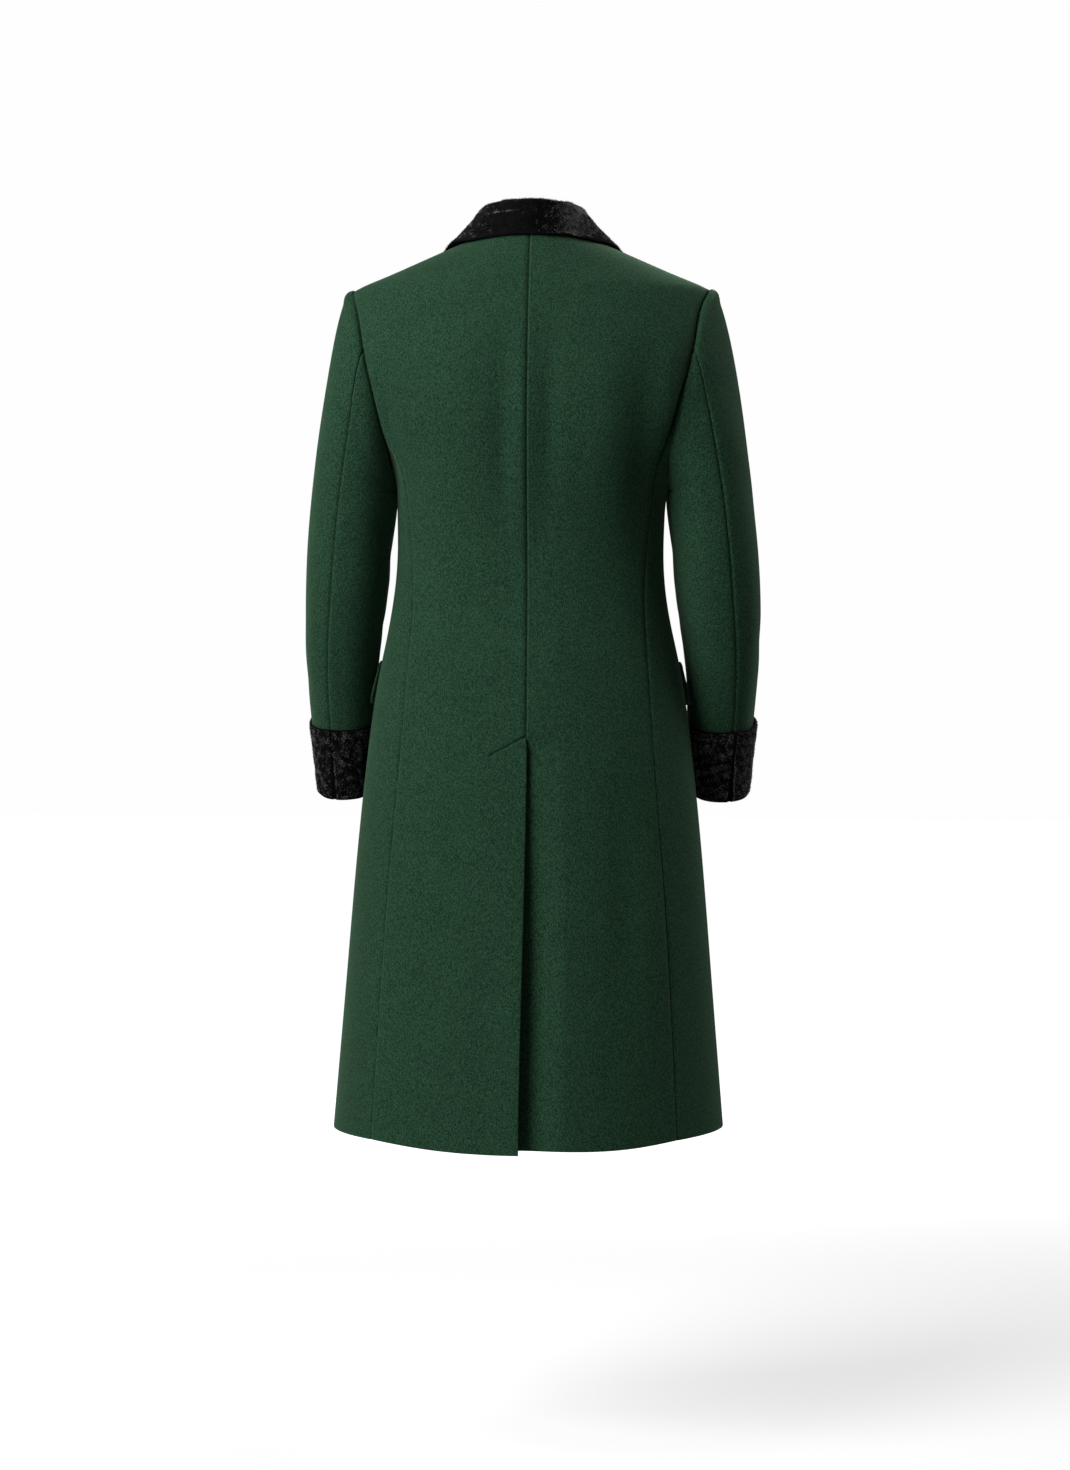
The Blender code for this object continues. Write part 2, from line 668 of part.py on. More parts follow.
def flap(name, side, material):
    """A pocket flap, hanging from its seam just off the side of the coat."""
    z = np.linspace(FLAP_TOP_Z - FLAP_HEIGHT, FLAP_TOP_Z, FLAP_ROWS + 1)[:, None]
    front = turn_at_x(FLAP_FRONT_X, z)
    turn = FLAP_REAR_TURN - (FLAP_REAR_TURN + front) * np.linspace(0, 1, FLAP_COLUMNS + 1)
    points = body(turn, z)
    away = outward(body, turn, z)
    off = LAY_GAP + FLAP_STAND_OFF * smooth(FLAP_TOP_Z, FLAP_TOP_Z - FLAP_HEIGHT, z)[..., None]
    wall(name, sided(points + away * (off + FLAP), side), sided(points + away * off, side), material)


def button(name, z, material):
    turn = -turn_at_x(0.0, z)
    middle = body(turn, z)
    away = outward(body, turn, np.float64(z))
    mesh = bmesh.new()
    bmesh.ops.create_cone(mesh, cap_ends=True, segments=BUTTON_SIDES, radius1=BUTTON_RADIUS,
                          radius2=BUTTON_RADIUS, depth=BUTTON_THICK)
    piece = keep(name, mesh, material)
    piece.location = middle + away * (LAY_GAP + BUTTON_THICK / 2)
    piece.rotation_euler = (math.atan2(-away[1], away[2]), 0, 0)
    rim = piece.modifiers.new("rim", "BEVEL")
    rim.width = BUTTON_BEVEL
    rim.segments = 1


for old in list(bpy.data.objects):
    bpy.data.objects.remove(old)
COLLECTION = bpy.data.collections.new(OBJECT_NAME)
bpy.context.scene.collection.children.link(COLLECTION)

wool = {}
for place in ("back", "side", "front", "sleeve_top", "sleeve_under", "flap"):
    for hand in ("left", "right"):
        wool[place, hand] = look(f"wool_{place}_{hand}", *WOOL_LOOK)

for hand, side in (("left", 1), ("right", -1)):
    back_panel(f"back_{hand}", side, wool["back", hand])
    side_panel(f"side_{hand}", side, wool["side", hand])
    front_panel(f"front_{hand}", side, wool["front", hand])
    sleeve_piece(f"sleeve_top_{hand}", side, TOP_ANGLES, wool["sleeve_top", hand])
    sleeve_piece(f"sleeve_under_{hand}", side, UNDER_ANGLES, wool["sleeve_under", hand])
    flap(f"flap_{hand}", side, wool["flap", hand])
    cuff(f"cuff_{hand}", side, look(f"pile_cuff_{hand}", *PILE_LOOK))
collar("collar", look("pile_collar", *PILE_LOOK))
for number, level in enumerate(BUTTON_LEVELS, 1):
    button(f"button_{number}", level, look(f"button_{number}", *BUTTON_LOOK))
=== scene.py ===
"""Looks of a long wool coat in its worn form: fine shells on the solids' own forms, pile, thread, buttons.

Metres, +Z up, front towards -Y, the coat's own left towards +X.
"""

import math

import bmesh
import bpy
import numpy as np
from mathutils import Matrix, Quaternion, Vector


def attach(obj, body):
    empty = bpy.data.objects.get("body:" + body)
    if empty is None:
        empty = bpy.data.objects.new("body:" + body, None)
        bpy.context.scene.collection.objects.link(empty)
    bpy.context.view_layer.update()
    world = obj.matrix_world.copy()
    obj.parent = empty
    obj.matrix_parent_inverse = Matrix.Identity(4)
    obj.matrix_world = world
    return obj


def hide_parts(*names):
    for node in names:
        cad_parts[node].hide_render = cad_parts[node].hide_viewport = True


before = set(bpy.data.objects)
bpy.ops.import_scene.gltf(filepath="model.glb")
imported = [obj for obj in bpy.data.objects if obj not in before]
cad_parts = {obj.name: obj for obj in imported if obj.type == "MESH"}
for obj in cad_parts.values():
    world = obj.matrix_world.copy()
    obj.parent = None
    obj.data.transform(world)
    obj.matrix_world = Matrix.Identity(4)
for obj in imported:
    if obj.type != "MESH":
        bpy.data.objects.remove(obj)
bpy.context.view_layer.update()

# Walls and the spaces between pieces
WOOL = 0.0025
PILE = 0.004
FLAP = 0.0028
LAY_GAP = 0.0006
COLLAR_GAP = 0.0014

# Heights
HEM_Z = -1.16
VENT_TOP_Z = -0.646
NECK_Z = 0.005

# The closed form of body and skirt in level sections: z, half width, y of back, front and sides, squareness
FORM = (
    (HEM_Z, 0.254, 0.186, -0.19, 0.0, 2.0),
    (-0.95, 0.2365, 0.164, -0.172, 0.003, 2.06),
    (-0.8, 0.224, 0.151, -0.161, 0.006, 2.12),
    (-0.7, 0.214, 0.143, -0.155, 0.008, 2.18),
    (-0.62, 0.2045, 0.134, -0.15, 0.008, 2.23),
    (-0.55, 0.193, 0.124, -0.1455, 0.006, 2.28),
    (-0.5, 0.182, 0.117, -0.1425, 0.004, 2.34),
    (-0.45, 0.1742, 0.113, -0.14, 0.002, 2.35),
    (-0.41, 0.172, 0.1135, -0.139, 0.0, 2.35),
    (-0.37, 0.1728, 0.118, -0.1395, 0.0, 2.36),
    (-0.335, 0.1748, 0.1235, -0.141, 0.0, 2.38),
    (-0.3, 0.1815, 0.129, -0.143, 0.0, 2.4),
    (-0.25, 0.2064, 0.135, -0.1445, 0.0, 2.4),
    (-0.21, 0.225, 0.1355, -0.143, 0.0, 2.35),
    (-0.17, 0.238, 0.132, -0.137, 0.0, 2.3),
    (-0.135, 0.243, 0.126, -0.127, 0.0, 2.22),
    (-0.105, 0.2425, 0.118, -0.114, 0.0, 2.13),
    (-0.082, 0.2395, 0.1102, -0.1025, 0.0, 2.07),
    (-0.067, 0.2305, 0.1044, -0.0935, 0.0, 2.03),
    (-0.055, 0.2045, 0.0992, -0.085, 0.0, 2.0),
    (-0.03, 0.1465, 0.0872, -0.071, 0.0, 2.0),
    (0.005, 0.066, 0.069, -0.056, 0.0, 2.0),
)

# Side body seams: z, and the back and front seam as shares of the half width
SIDE_SEAMS = (
    (HEM_Z, 0.764, 0.8),
    (-0.85, 0.773, 0.805),
    (-0.68, 0.767, 0.805),
    (-0.546, 0.795, 0.815),
    (-0.46, 0.845, 0.835),
    (-0.4, 0.878, 0.855),
    (-0.335, 0.9, 0.885),
)

# Creases: face (back 1, front -1, side 0), x and z of the top and of the foot, half width, height
CREASES = (
    (1, 0.008, -0.11, 0.007, -0.44, 0.014, 0.0018),
    (1, 0.031, -0.1, 0.03, -0.42, 0.015, -0.0036),
    (1, 0.086, -0.09, 0.08, -0.4, 0.04, 0.003),
    (1, -0.029, -0.08, -0.028, -0.42, 0.014, -0.0034),
    (1, -0.106, -0.1, -0.104, -0.42, 0.036, 0.0066),
    (1, -0.144, -0.15, -0.136, -0.44, 0.014, -0.002),
    (1, -0.186, -0.11, -0.168, -0.355, 0.018, 0.0076),
    (1, 0.168, -0.13, 0.16, -0.31, 0.014, -0.0014),
    (1, -0.032, -0.4, -0.03, -0.76, 0.045, 0.0034),
    (1, -0.124, -0.66, -0.131, -1.04, 0.018, -0.0024),
    (1, -0.166, -0.74, -0.174, -1.08, 0.022, 0.0016),
    (1, 0.112, -0.8, 0.121, -1.08, 0.03, -0.0014),
    (1, 0.07, -0.43, 0.094, -0.58, 0.018, -0.0011),
    (1, 0.19, -0.12, 0.168, -0.36, 0.01, -0.0032),
    (0, 0.174, -0.32, 0.178, -0.57, 0.014, 0.002),
    (-1, 0.166, -0.14, 0.138, -0.4, 0.017, -0.0058),
    (-1, 0.132, -0.16, 0.112, -0.38, 0.018, 0.004),
    (-1, -0.168, -0.13, -0.148, -0.37, 0.016, -0.0052),
    (-1, -0.136, -0.15, -0.122, -0.36, 0.019, 0.0036),
    (-1, 0.02, -0.385, 0.136, -0.29, 0.012, -0.0046),
    (-1, 0.026, -0.42, 0.144, -0.35, 0.013, 0.0032),
    (-1, -0.02, -0.395, -0.13, -0.315, 0.011, -0.004),
    (-1, -0.024, -0.43, -0.126, -0.378, 0.012, 0.0026),
    (-1, 0.026, -0.512, 0.132, -0.47, 0.012, -0.0038),
    (-1, -0.022, -0.508, -0.116, -0.48, 0.011, -0.003),
    (-1, 0.08, -0.64, 0.1, -1.1, 0.02, -0.0072),
    (-1, 0.128, -0.66, 0.152, -1.14, 0.022, 0.0064),
    (-1, -0.072, -0.66, -0.09, -1.04, 0.019, -0.0062),
    (-1, -0.126, -0.7, -0.142, -1.14, 0.024, -0.0056),
    (-1, -0.036, -0.7, -0.04, -1.12, 0.022, 0.0042),
    (-1, 0.04, -0.74, 0.044, -1.08, 0.018, 0.0034),
)

# Folds of the coat's left and right side: turn and z of the top and of the foot, half turn, height
SIDE_FOLDS = {
    1: ((-0.24, -0.58, -0.3, -1.12, 0.1, -0.0062), (-0.52, -0.62, -0.6, -1.14, 0.11, 0.005)),
    -1: ((-0.32, -0.6, -0.26, -1.1, 0.11, -0.0058), (-0.6, -0.58, -0.56, -1.08, 0.1, 0.0046)),
}

# How far from a seam the creases of each side reach their full height, and how they fade to their ends
CREASE_SETTLE = {1: 0.02, -1: 0.01}
CREASE_FADE = 1.5

# Armhole: an oval on the side of the form, shaped behind by side
ARMHOLE_TOP_Z = -0.0665
ARMHOLE_FOOT_Z = -0.3
ARMHOLE_BACK = {1: 0.074, -1: 0.083}
ARMHOLE_SKEW = {1: 0.1, -1: 0.24}
ARMHOLE_ROUND = {1: 1.0, -1: 0.7}
ARMHOLE_FRONT = 0.07

# How far the cloth swells behind each armhole, and where
SWELL = {1: 0.0, -1: 0.0036}
SWELL_AT = (0.205, -0.15)
SWELL_REACH = (0.045, 0.07)

# Angles of the armhole at which the side body and the hind-arm seam begin
SIDE_BODY_TURN = math.radians(125)
HIND_ANGLE = math.radians(75)
SIDE_BODY_FADE_Z = -0.46

# Vent in the centre back seam: its slanted top, its underlap, its step, and how it hangs open
VENT_SLANT = 0.024
VENT_FINE_ROWS = (-1.2, 0.2)
VENT_UNDERLAP = 0.05
VENT_STEP = 0.0068
VENT_STEP_Z = (0.012, -0.022)
VENT_DEPTH = 0.016
VENT_PROUD = 0.005
VENT_LAP = 0.001
VENT_LAP_FADE = 0.02
VENT_SWING = 0.006
VENT_FADE = 0.4
VENT_REACH = 0.055
VENT_NEAR = 0.006

# Stitches that close the vent's top
STITCH_REACH = 0.045
STITCH_COUNT = 12
STITCH_ENDS = (0.15, 0.85)
STITCH_ASIDE = 0.0004
STITCH_HEIGHT = 0.6

# Hem: how it sags beside the vent, is drawn up at the sides and hangs full between
SAG = 0.006
SAG_REACH = 0.2
SAG_TOP_Z = -0.8
HEM_RISE = {1: 0.0065, -1: 0.0115}
HEM_FULL = {1: 0.0018, -1: 0.0034}
HEM_FULL_REACH = 0.194
HEM_FULL_SKEW = 1.3
HEM_FULL_POWER = 1.2

# Closed front, left over right, and the line on which its top is turned back
OVERLAP = 0.028
FRONT_STEP = 0.004
FRONT_STEP_REACH = 0.085
BREAK_Z = -0.335
ROLL_TOP_X = 0.047
ROLL_FADE_Z = (-0.03, -0.12)

# Sleeve below the biceps, in rings: z, x and y of the centre, radii in x and y, forward tilt in degrees
ARM = (
    (-0.335, 0.2323, 0.0, 0.0543, 0.076, 0.0),
    (-0.4, 0.2372, -0.003, 0.0546, 0.0735, 3.0),
    (-0.468, 0.2417, -0.009, 0.0528, 0.069, 7.0),
    (-0.527, 0.2466, -0.02, 0.049, 0.0635, 11.0),
    (-0.585, 0.2486, -0.035, 0.0445, 0.059, 14.0),
    (-0.64, 0.248, -0.052, 0.0411, 0.055, 16.0),
    (-0.715, 0.2484, -0.077, 0.0348, 0.05, 17.0),
)
BICEPS_Z = ARM[0][0]
WRIST_Z = ARM[-1][0]
ARM_LENGTH = BICEPS_Z - WRIST_Z
ARM_SQUARENESS = 2.25
HEAD_PULL = 0.03
CAP_PULL = 1.25

# Seam down the back of the sleeve: length along the sleeve, angle in degrees
HIND_SEAM = {
    1: ((0.7, 83.0), (1.0, 81.0), (1.4, 76.0), (2.0, 77.0)),
    -1: ((0.7, 79.0), (1.0, 75.0), (1.4, 69.0), (2.0, 75.0)),
}

# Creases of a sleeve: angle in degrees, length along it, their reaches, slant and height
ARM_CREASES = {
    "left": (
        (-112, 1.27, 46, 0.034, 0.001, -0.0052),
        (-104, 1.34, 44, 0.03, 0.0008, 0.0036),
        (-126, 1.41, 40, 0.03, -0.0006, -0.0048),
        (-108, 1.49, 36, 0.03, 0.0004, 0.0028),
        (-100, 1.57, 38, 0.036, 0.0012, -0.0038),
        (-40, 0.78, 34, 0.09, 0.0026, -0.0026),
        (-28, 1.36, 30, 0.06, 0.0016, -0.002),
        (150, 0.86, 34, 0.06, -0.0012, -0.0018),
        (20, 1.62, 30, 0.05, 0.001, -0.0009),
        (85, 0.58, 30, 0.08, 0.003, -0.0014),
        (150, 1.12, 25, 0.03, 0.0015, -0.0016),
        (0, 0.58, 60, 0.28, 0.0, -0.0018),
    ),
    "right": (
        (-118, 1.25, 42, 0.034, 0.001, -0.005),
        (-106, 1.32, 46, 0.03, 0.0006, 0.0034),
        (-112, 1.38, 48, 0.03, -0.0004, -0.0048),
        (-122, 1.46, 36, 0.03, 0.0004, 0.0028),
        (-126, 1.53, 34, 0.034, 0.0008, -0.0036),
        (-46, 0.72, 36, 0.08, 0.003, -0.0024),
        (-24, 1.44, 32, 0.056, 0.0012, -0.002),
        (146, 0.9, 38, 0.055, -0.001, -0.0017),
        (14, 1.48, 34, 0.055, 0.0008, -0.0008),
        (60, 0.5, 32, 0.09, -0.004, -0.0018),
        (42, 0.82, 32, 0.08, -0.003, 0.0014),
        (180, 1.78, 60, 0.11, 0.0, 0.0026),
        (24, 1.34, 30, 0.27, 0.0, 0.0052),
    ),
}
UNDERARM = 0.0034
UNDERARM_REACH = 50
UNDERARM_LENGTHS = ((0.0, 0.5), (1.2, 1.02))
TUCK = np.array((0.006, 0.003))
ROPE = 0.0032
ROPE_FADE = 1.8
ROPE_AT = 0.012
ROPE_SOFT = 0.008

# Cuffs, open at a slit in line with the hind-arm seam
SLEEVE_END = 1.998
WRIST_RADIUS = ARM[-1][3]
CUFF_TOP_Z = -0.623
CUFF_SLIT = 0.0004
CUFF_NOTCH = 0.0015
CUFF_NOTCH_LENGTHS = (1.84, 2.0)
CUFF_UNDERLAP = np.array((0.004, 0.04, 0.08, 0.12))
UNDERLAP_THICK = 0.0004
CUFF_FLARE = {1: 0.0004, -1: 0.0014}
CUFF_STAND = {1: 0.002, -1: 0.0034}
CUFF_UNEVEN = 0.0005
CUFF_UNEVEN_SIZE = 0.03
CUFF_UNEVEN_SEED = 11
# Grey of each cuff's pile; the right one is made greyer, painted light where the coat's body shades it from
# the key
CUFF_GREY_AND_LIGHT = {1: 0.8, -1: 1.0}
CUFF_CALM = {1: 0.2, -1: 0.7}
CUFF_CALM_REACH = (0.06, 0.03)
CUFF_HAIRS = 26000
CUFF_HAIRS_SEED = 21
SLIT_MARGIN = 0.0017
# Painted highlight: lighter hairs in a thin line along the edge of the slit
SLIT_LENGTHS = (1.82, 1.9)
SLIT_LIP_HIGHLIGHT = 1.2
SLIT_LIP_HIGHLIGHT_AT = 0.0006
SLIT_LIP_HIGHLIGHT_SOFT = 0.0007

# Collar behind: x on the neck seam, rise and lean of the fold, x and z of the outer edge
COLLAR_BACK = (
    (0.0, 0.0345, -0.004, 0.0, -0.006),
    (0.033, 0.034, -0.004, 0.048, -0.0078),
    (0.0571, 0.0315, -0.0055, 0.0905, -0.0122),
    (0.066, 0.028, -0.0065, 0.1235, -0.0134),
)

# Collar in front, down to the break: z on its seam, rise and lean, x and z of the edge, lift of the seam
COLLAR_FRONT = (
    (NECK_Z, 0.016, 0.0, 0.136, -0.048, 0.0036),
    (-0.06, 0.003, 0.0065, 0.145, -0.1, 0.0034),
    (-0.14, 0.001, 0.007, 0.135, -0.185, 0.0034),
    (-0.23, 0.0, 0.007, 0.092, -0.262, 0.0034),
    (-0.33, 0.0, 0.007, -0.018, -0.338, 0.0034),
)
FOLD_RADIUS = 0.0045
FOLD_SHARE = 0.45
TIP_WIDTH = 0.02
CLEARING_PASSES = 4
SOFTENING_PASSES = 3
COLLAR_UNEVEN = 0.0006
COLLAR_UNEVEN_SIZE = 0.035
COLLAR_UNEVEN_SEED = 5
COLLAR_BEHIND_Y = (-0.035, -0.015)
SHOULDER_PROUD = {1: 0.002, -1: 0.0004}
SHOULDER_AT = 0.1
SHOULDER_REACH = 0.022

# Pile of the collar: a painted sheen of grey on the right where the pile is brushed, a parting with a
# painted highlight and smoothing on the left, patchy in front
COLLAR_HAIRS = 64000
COLLAR_HAIRS_SEED = 31
# Painted sheen: hairs made grey on the right of the collar behind, where the brushed pile catches the light
PAINTED_SHEEN = 2.6
PAINTED_SHEEN_X = -0.054
PAINTED_SHEEN_REACH = 0.036
PAINTED_SHEEN_FROM = (0.034, 0.042)
# Painted highlight: a thin line of lighter hairs along a parting in the pile on the left
PARTING_HIGHLIGHT = 2.5
PARTING_HIGHLIGHT_AT = 0.053
PARTING_HIGHLIGHT_SOFT = 0.0012
PARTING_HIGHLIGHT_X = 0.035
PARTING_HIGHLIGHT_REACH = 0.022
SMOOTHED = 0.6
SMOOTHED_MORE = 0.7
SMOOTHED_X = (-0.03, 0.03)
PATCHES = 0.9
PATCH_SIZE = 0.05
PATCH_SEED = 7
PATCH_WAVES = 16

# Pocket flaps
FLAP_TOP_Z = -0.548
FLAP_HEIGHT = 0.056
FLAP_REAR_TURN = math.radians(2)
FLAP_FRONT_X = 0.105
FLAP_STAND_OFF = 0.003
FLAP_CORNER = 0.014

# Buttons, with a profile in shares of radius and thickness, and buttonholes
BUTTON_LEVELS = (-0.372, -0.502, -0.632)
BUTTON_RADIUS = 0.015
BUTTON_THICK = 0.0045
BUTTON_PROFILE = ((0, 0), (0.8, 0), (0.95, 0.25), (1, 0.55), (0.97, 0.85), (0.88, 1), (0.78, 0.97),
                  (0.68, 0.78), (0.5, 0.68), (0, 0.66))
BUTTON_STEPS = 48
BUTTON_HOLE = 0.0013
BUTTON_HOLE_AT = 0.0027
BUTTON_FACE = 0.66
BUTTON_FOOT = 0.1
STRAND_ASIDE = 1.1
STRAND_HEIGHTS = (1.0, 2.4)
BUTTONHOLE_ENDS = (-0.004, 0.029)
BUTTONHOLE_STEP = 0.0011
BUTTONHOLE_SLIT = 0.0002
BUTTONHOLE_HALF = 0.0016
BUTTONHOLE_HEIGHT = 0.5
BUTTONHOLE_THREAD = 1.3

# Edges: how a free one is rounded, how a sewn one dips, and the pad of turnings beside it
FREE_EDGES = {"first": 0, "last": 0, "foot": 0, "top": 0}
EDGE_ROUND = 0.6
EDGE_DRAWN = 0.42
SEAM_DIP = 0.0015
SEAM_SOFT = 0.0016
SEAM_PAD = 0.0003
SEAM_PAD_AT = 0.007
SEAM_PAD_SOFT = 0.0035
TURNING = 0.006
TURNING_SOFT = 0.0012

# The centre back seam: its dip on the left, its lip on the right, and how it sways
CENTRE_DIP = 0.0012
CENTRE_SOFT = 0.0042
CENTRE_LIP = 0.0009
CENTRE_LIP_AT = 0.002
CENTRE_LIP_SOFT = 0.0014
CENTRE_SWAY = 0.0016
CENTRE_SWAY_Z = (-0.3, -0.62)
CENTRE_END = 0.004

# Thread, as short bars with domed ends, and the groove it lies in
GROOVE_DEPTH = 0.0022
GROOVE_SOFT = 0.0013
THREAD_RADIUS = 0.00035
BAR_PROFILE = ((0.0, 0.25), (0.06, 0.75), (0.2, 1.0), (0.8, 1.0), (0.94, 0.75), (1.0, 0.25))
BAR_SIDES = 6
BAR_ASIDE = (0.31, 0.52, 0.79)

# Hairs of the pile: how they lean along the nap, swirl across it, and stand in tufts of black and grey
HAIR_LENGTH = 0.0024
HAIR_SPREAD = (0.6, 1.15)
HAIR_RADIUS = 0.00034
HAIR_TILT = 0.01
SWIRL = 0.9
SWIRL_WAVE = {"size": 0.012, "more": 100}
SWIRL_OWN = 0.35
LEAN = 0.8
LEAN_MORE = 0.7
LEAN_WAVE = {"size": 0.014, "more": 200}
LEAN_OWN = 0.25
TUFT_FINE = 0.8
TUFT_FINE_WAVE = {"size": 0.0025, "more": 300, "waves": 24}
TUFT_BROAD = 0.9
TUFT_BROAD_WAVE = {"size": 0.013, "more": 400, "waves": 24}
TUFT_OWN = 0.35
CROWD = 10
CROWD_FROM = 1.8
SHADE_RANGE = (0.45, 1.7)
SHADE_LEAST = 0.05
SHADE_OWN = 0.05

# How finely each piece is cut up
EDGE_SHARES = np.array((0.0, 0.0025, 0.005, 0.01, 0.018, 0.03))
HEM_STEPS = np.array((0.0, 0.0004, 0.0009, 0.0016, 0.0028, 0.005, 0.008))
NEAR_STEPS = (0.0028, 0.0018, 0.001, 0.0005, 0.0)
NEAR_END = 0.0035
ROW_STEP = 0.006
FINE_STEP = 0.001
ARMHOLE_ROWS = 44
SHOULDER_ROWS = 16
BACK_COLUMNS = 24
FRONT_COLUMNS = 36
SIDE_COLUMNS = 30
CAP_ROWS = 34
ARM_ROWS = 64
TOP_COLUMNS = 38
UNDER_COLUMNS = 30
CUFF_ROWS = 30
FLAP_ROWS = 16
FLAP_COLUMNS = 30
COLLAR_STEPS = 20
STAND_ROWS = 8
FOLD_ROWS = 9
FALL_ROWS = 22

RIPPLE_SPREAD = (0.6, 1.6)
NUDGE = 1e-4

# Floor and backdrop
FLOOR_Z = -1.556
FLOOR_SIZE = 30
FLOOR_GLOW_FROM = 1.2
FLOOR_GLOW_TO = 4.0
FLOOR_GLOW = (0.4, 1.0)
FLOOR_PALE = (0.4, 0.95)
BACKDROP_LIGHT = (0.02, 1.0)
BACKDROP_WHITE = (0.99, 0.99, 0.99, 1)

# Lights: name, place, aim, size and power
LIGHTS = (
    ("key", (2.14, 2.14, 0.99), (0, 0, -0.55), 2.3, 95),
    ("top", (1.1, 0.4, 2.0), (0, 0, -0.1), 1.8, 14),
    ("rim", (-2.05, -0.8, 0.75), (0, 0, -0.25), 1.2, 22),
    ("front_fill", (0.6, -3.4, 0.8), (0, 0, -0.55), 2.4, 34),
)

# Camera
TARGET = Vector((0.0, 0.0, -0.6435))
DISTANCE = 4.0
AZIMUTH = math.radians(182.7)
ROLL = math.radians(0.3)
LENS = 75.3
PHOTO_HEIGHT = 1470
SHIFT_PIXELS = 4.7


# Curves and small helpers


def spline(knots, values):
    """A smooth curve through the values at the knots, as a function of a number or an array."""
    order = np.argsort(knots)
    knots = np.array(knots, float)[order]
    values = np.array(values, float)[order]
    gap = np.diff(knots)
    rise = np.diff(values) / gap
    matrix = np.eye(len(knots))
    pull = np.zeros(len(knots))
    for i in range(1, len(knots) - 1):
        matrix[i, i - 1:i + 2] = gap[i - 1], 2 * (gap[i - 1] + gap[i]), gap[i]
        pull[i] = 6 * (rise[i] - rise[i - 1])
    bend = np.linalg.solve(matrix, pull)

    def read(at):
        at = np.asarray(at, float)
        i = np.clip(np.searchsorted(knots, at) - 1, 0, len(gap) - 1)
        along = at - knots[i]
        slope = rise[i] - gap[i] * (2 * bend[i] + bend[i + 1]) / 6
        turn = (bend[i + 1] - bend[i]) / (6 * gap[i])
        return values[i] + along * (slope + along * (bend[i] / 2 + along * turn))

    return read


def glide(knots, values):
    """A curve through the values at the knots that never swings past them."""
    gap = np.diff(knots)
    rise = np.diff(values) / gap
    meet = rise[:-1] * rise[1:]
    tangent = np.zeros(len(knots))
    tangent[1:-1] = np.where(meet > 0, 2 * meet / np.where(meet > 0, rise[:-1] + rise[1:], 1), 0)
    tangent[0], tangent[-1] = rise[0], rise[-1]

    def read(at):
        i = np.clip(np.searchsorted(knots, at) - 1, 0, len(gap) - 1)
        s = (at - knots[i]) / gap[i]
        start = values[i] + s * gap[i] * tangent[i]
        end = values[i + 1] - (1 - s) * gap[i] * tangent[i + 1]
        return start + (end - start) * s * s * (3 - 2 * s)

    return read


def curves(table):
    """A curve for each further column of a table, over its first column."""
    first, *others = zip(*table)
    return [spline(first, values) for values in others]


def smooth(start, end, at):
    """0 at start, 1 at end, with a soft step between."""
    share = np.clip((np.asarray(at, float) - start) / (end - start), 0, 1)
    return share * share * (3 - 2 * share)


def unit(vectors):
    return vectors / np.linalg.norm(vectors, axis=-1, keepdims=True)


def hump(at, middle, reach):
    """1 in the middle, falling off softly over the reach to both sides."""
    return np.exp(-((at - middle) / reach) ** 2)


def signed_power(values, power):
    return np.sign(values) * np.abs(values) ** power


def outward(surface, first, second):
    """The outward direction of a surface of two numbers."""
    across = surface(first + NUDGE, second) - surface(first - NUDGE, second)
    along = surface(first, second + NUDGE) - surface(first, second - NUDGE)
    return unit(np.cross(across, along))


def shares(count):
    """Shares from 0 to 1, closer together near both ends."""
    end = EDGE_SHARES[-1]
    middle = np.linspace(end, 1 - end, count + 1)
    return np.concatenate([EDGE_SHARES[:-1], middle, 1 - EDGE_SHARES[-2::-1]])


def first_shares(count):
    """Shares from 0 to 1, closer together near 0."""
    return np.concatenate([EDGE_SHARES[:-1], np.linspace(EDGE_SHARES[-1], 1, count)])


def levels(start, end, step):
    """Heights from start up to end, about a step apart, without the end."""
    return np.linspace(start, end, max(2, round((end - start) / step)), endpoint=False)


def sided(grid, side):
    """A grid for the coat's left (side 1) or its mirror image on the right (side -1)."""
    return grid * np.array((side, 1, 1))


def ripple(points, size, seed, waves=7):
    """An uneven value from about -1 to 1 that changes over the given size."""
    rng = np.random.default_rng(seed)
    way = unit(rng.normal(size=(waves, 3))) * (2 * math.pi / size)
    way *= rng.uniform(*RIPPLE_SPREAD, (waves, 1))
    phase = rng.uniform(0, 2 * math.pi, waves)
    return np.sin(points @ way.T + phase).sum(-1) / math.sqrt(2 * waves)


def soften(rows, passes):
    """Evens out the rows between the first and the last, in place."""
    for _ in range(passes):
        rows[1:-1] = (rows[:-2] + 2 * rows[1:-1] + rows[2:]) / 4


# The form of body and skirt


HALF_WIDTH, BACK_Y, FRONT_Y, SIDE_Y, SQUARENESS = curves(FORM)


def half_depth(behind, z):
    """How far the form reaches behind the line of its sides, or in front of it."""
    side_y = SIDE_Y(z)
    return np.where(behind, BACK_Y(z) - side_y, side_y - FRONT_Y(z))


def body(turn, z):
    """A point of the closed form: turn 0 is the coat's left side, a quarter turn its back."""
    turn, z = np.broadcast_arrays(np.asarray(turn, float), np.asarray(z, float))
    along = np.sin(turn)
    power = 2 / SQUARENESS(z)
    x = HALF_WIDTH(z) * signed_power(np.cos(turn), power)
    y = SIDE_Y(z) + half_depth(along > 0, z) * signed_power(along, power)
    return np.stack([x, y, z], axis=-1)


def off_form(turn, z, off):
    """A point that stands off the form."""
    return body(turn, z) + outward(body, turn, np.float64(z)) * off


def turn_at_x(x, z):
    """The turn, on the back half, at which the form's section at z reaches x."""
    share = np.clip(np.asarray(x, float) / HALF_WIDTH(z), -1, 1)
    return np.arccos(signed_power(share, SQUARENESS(z) / 2))


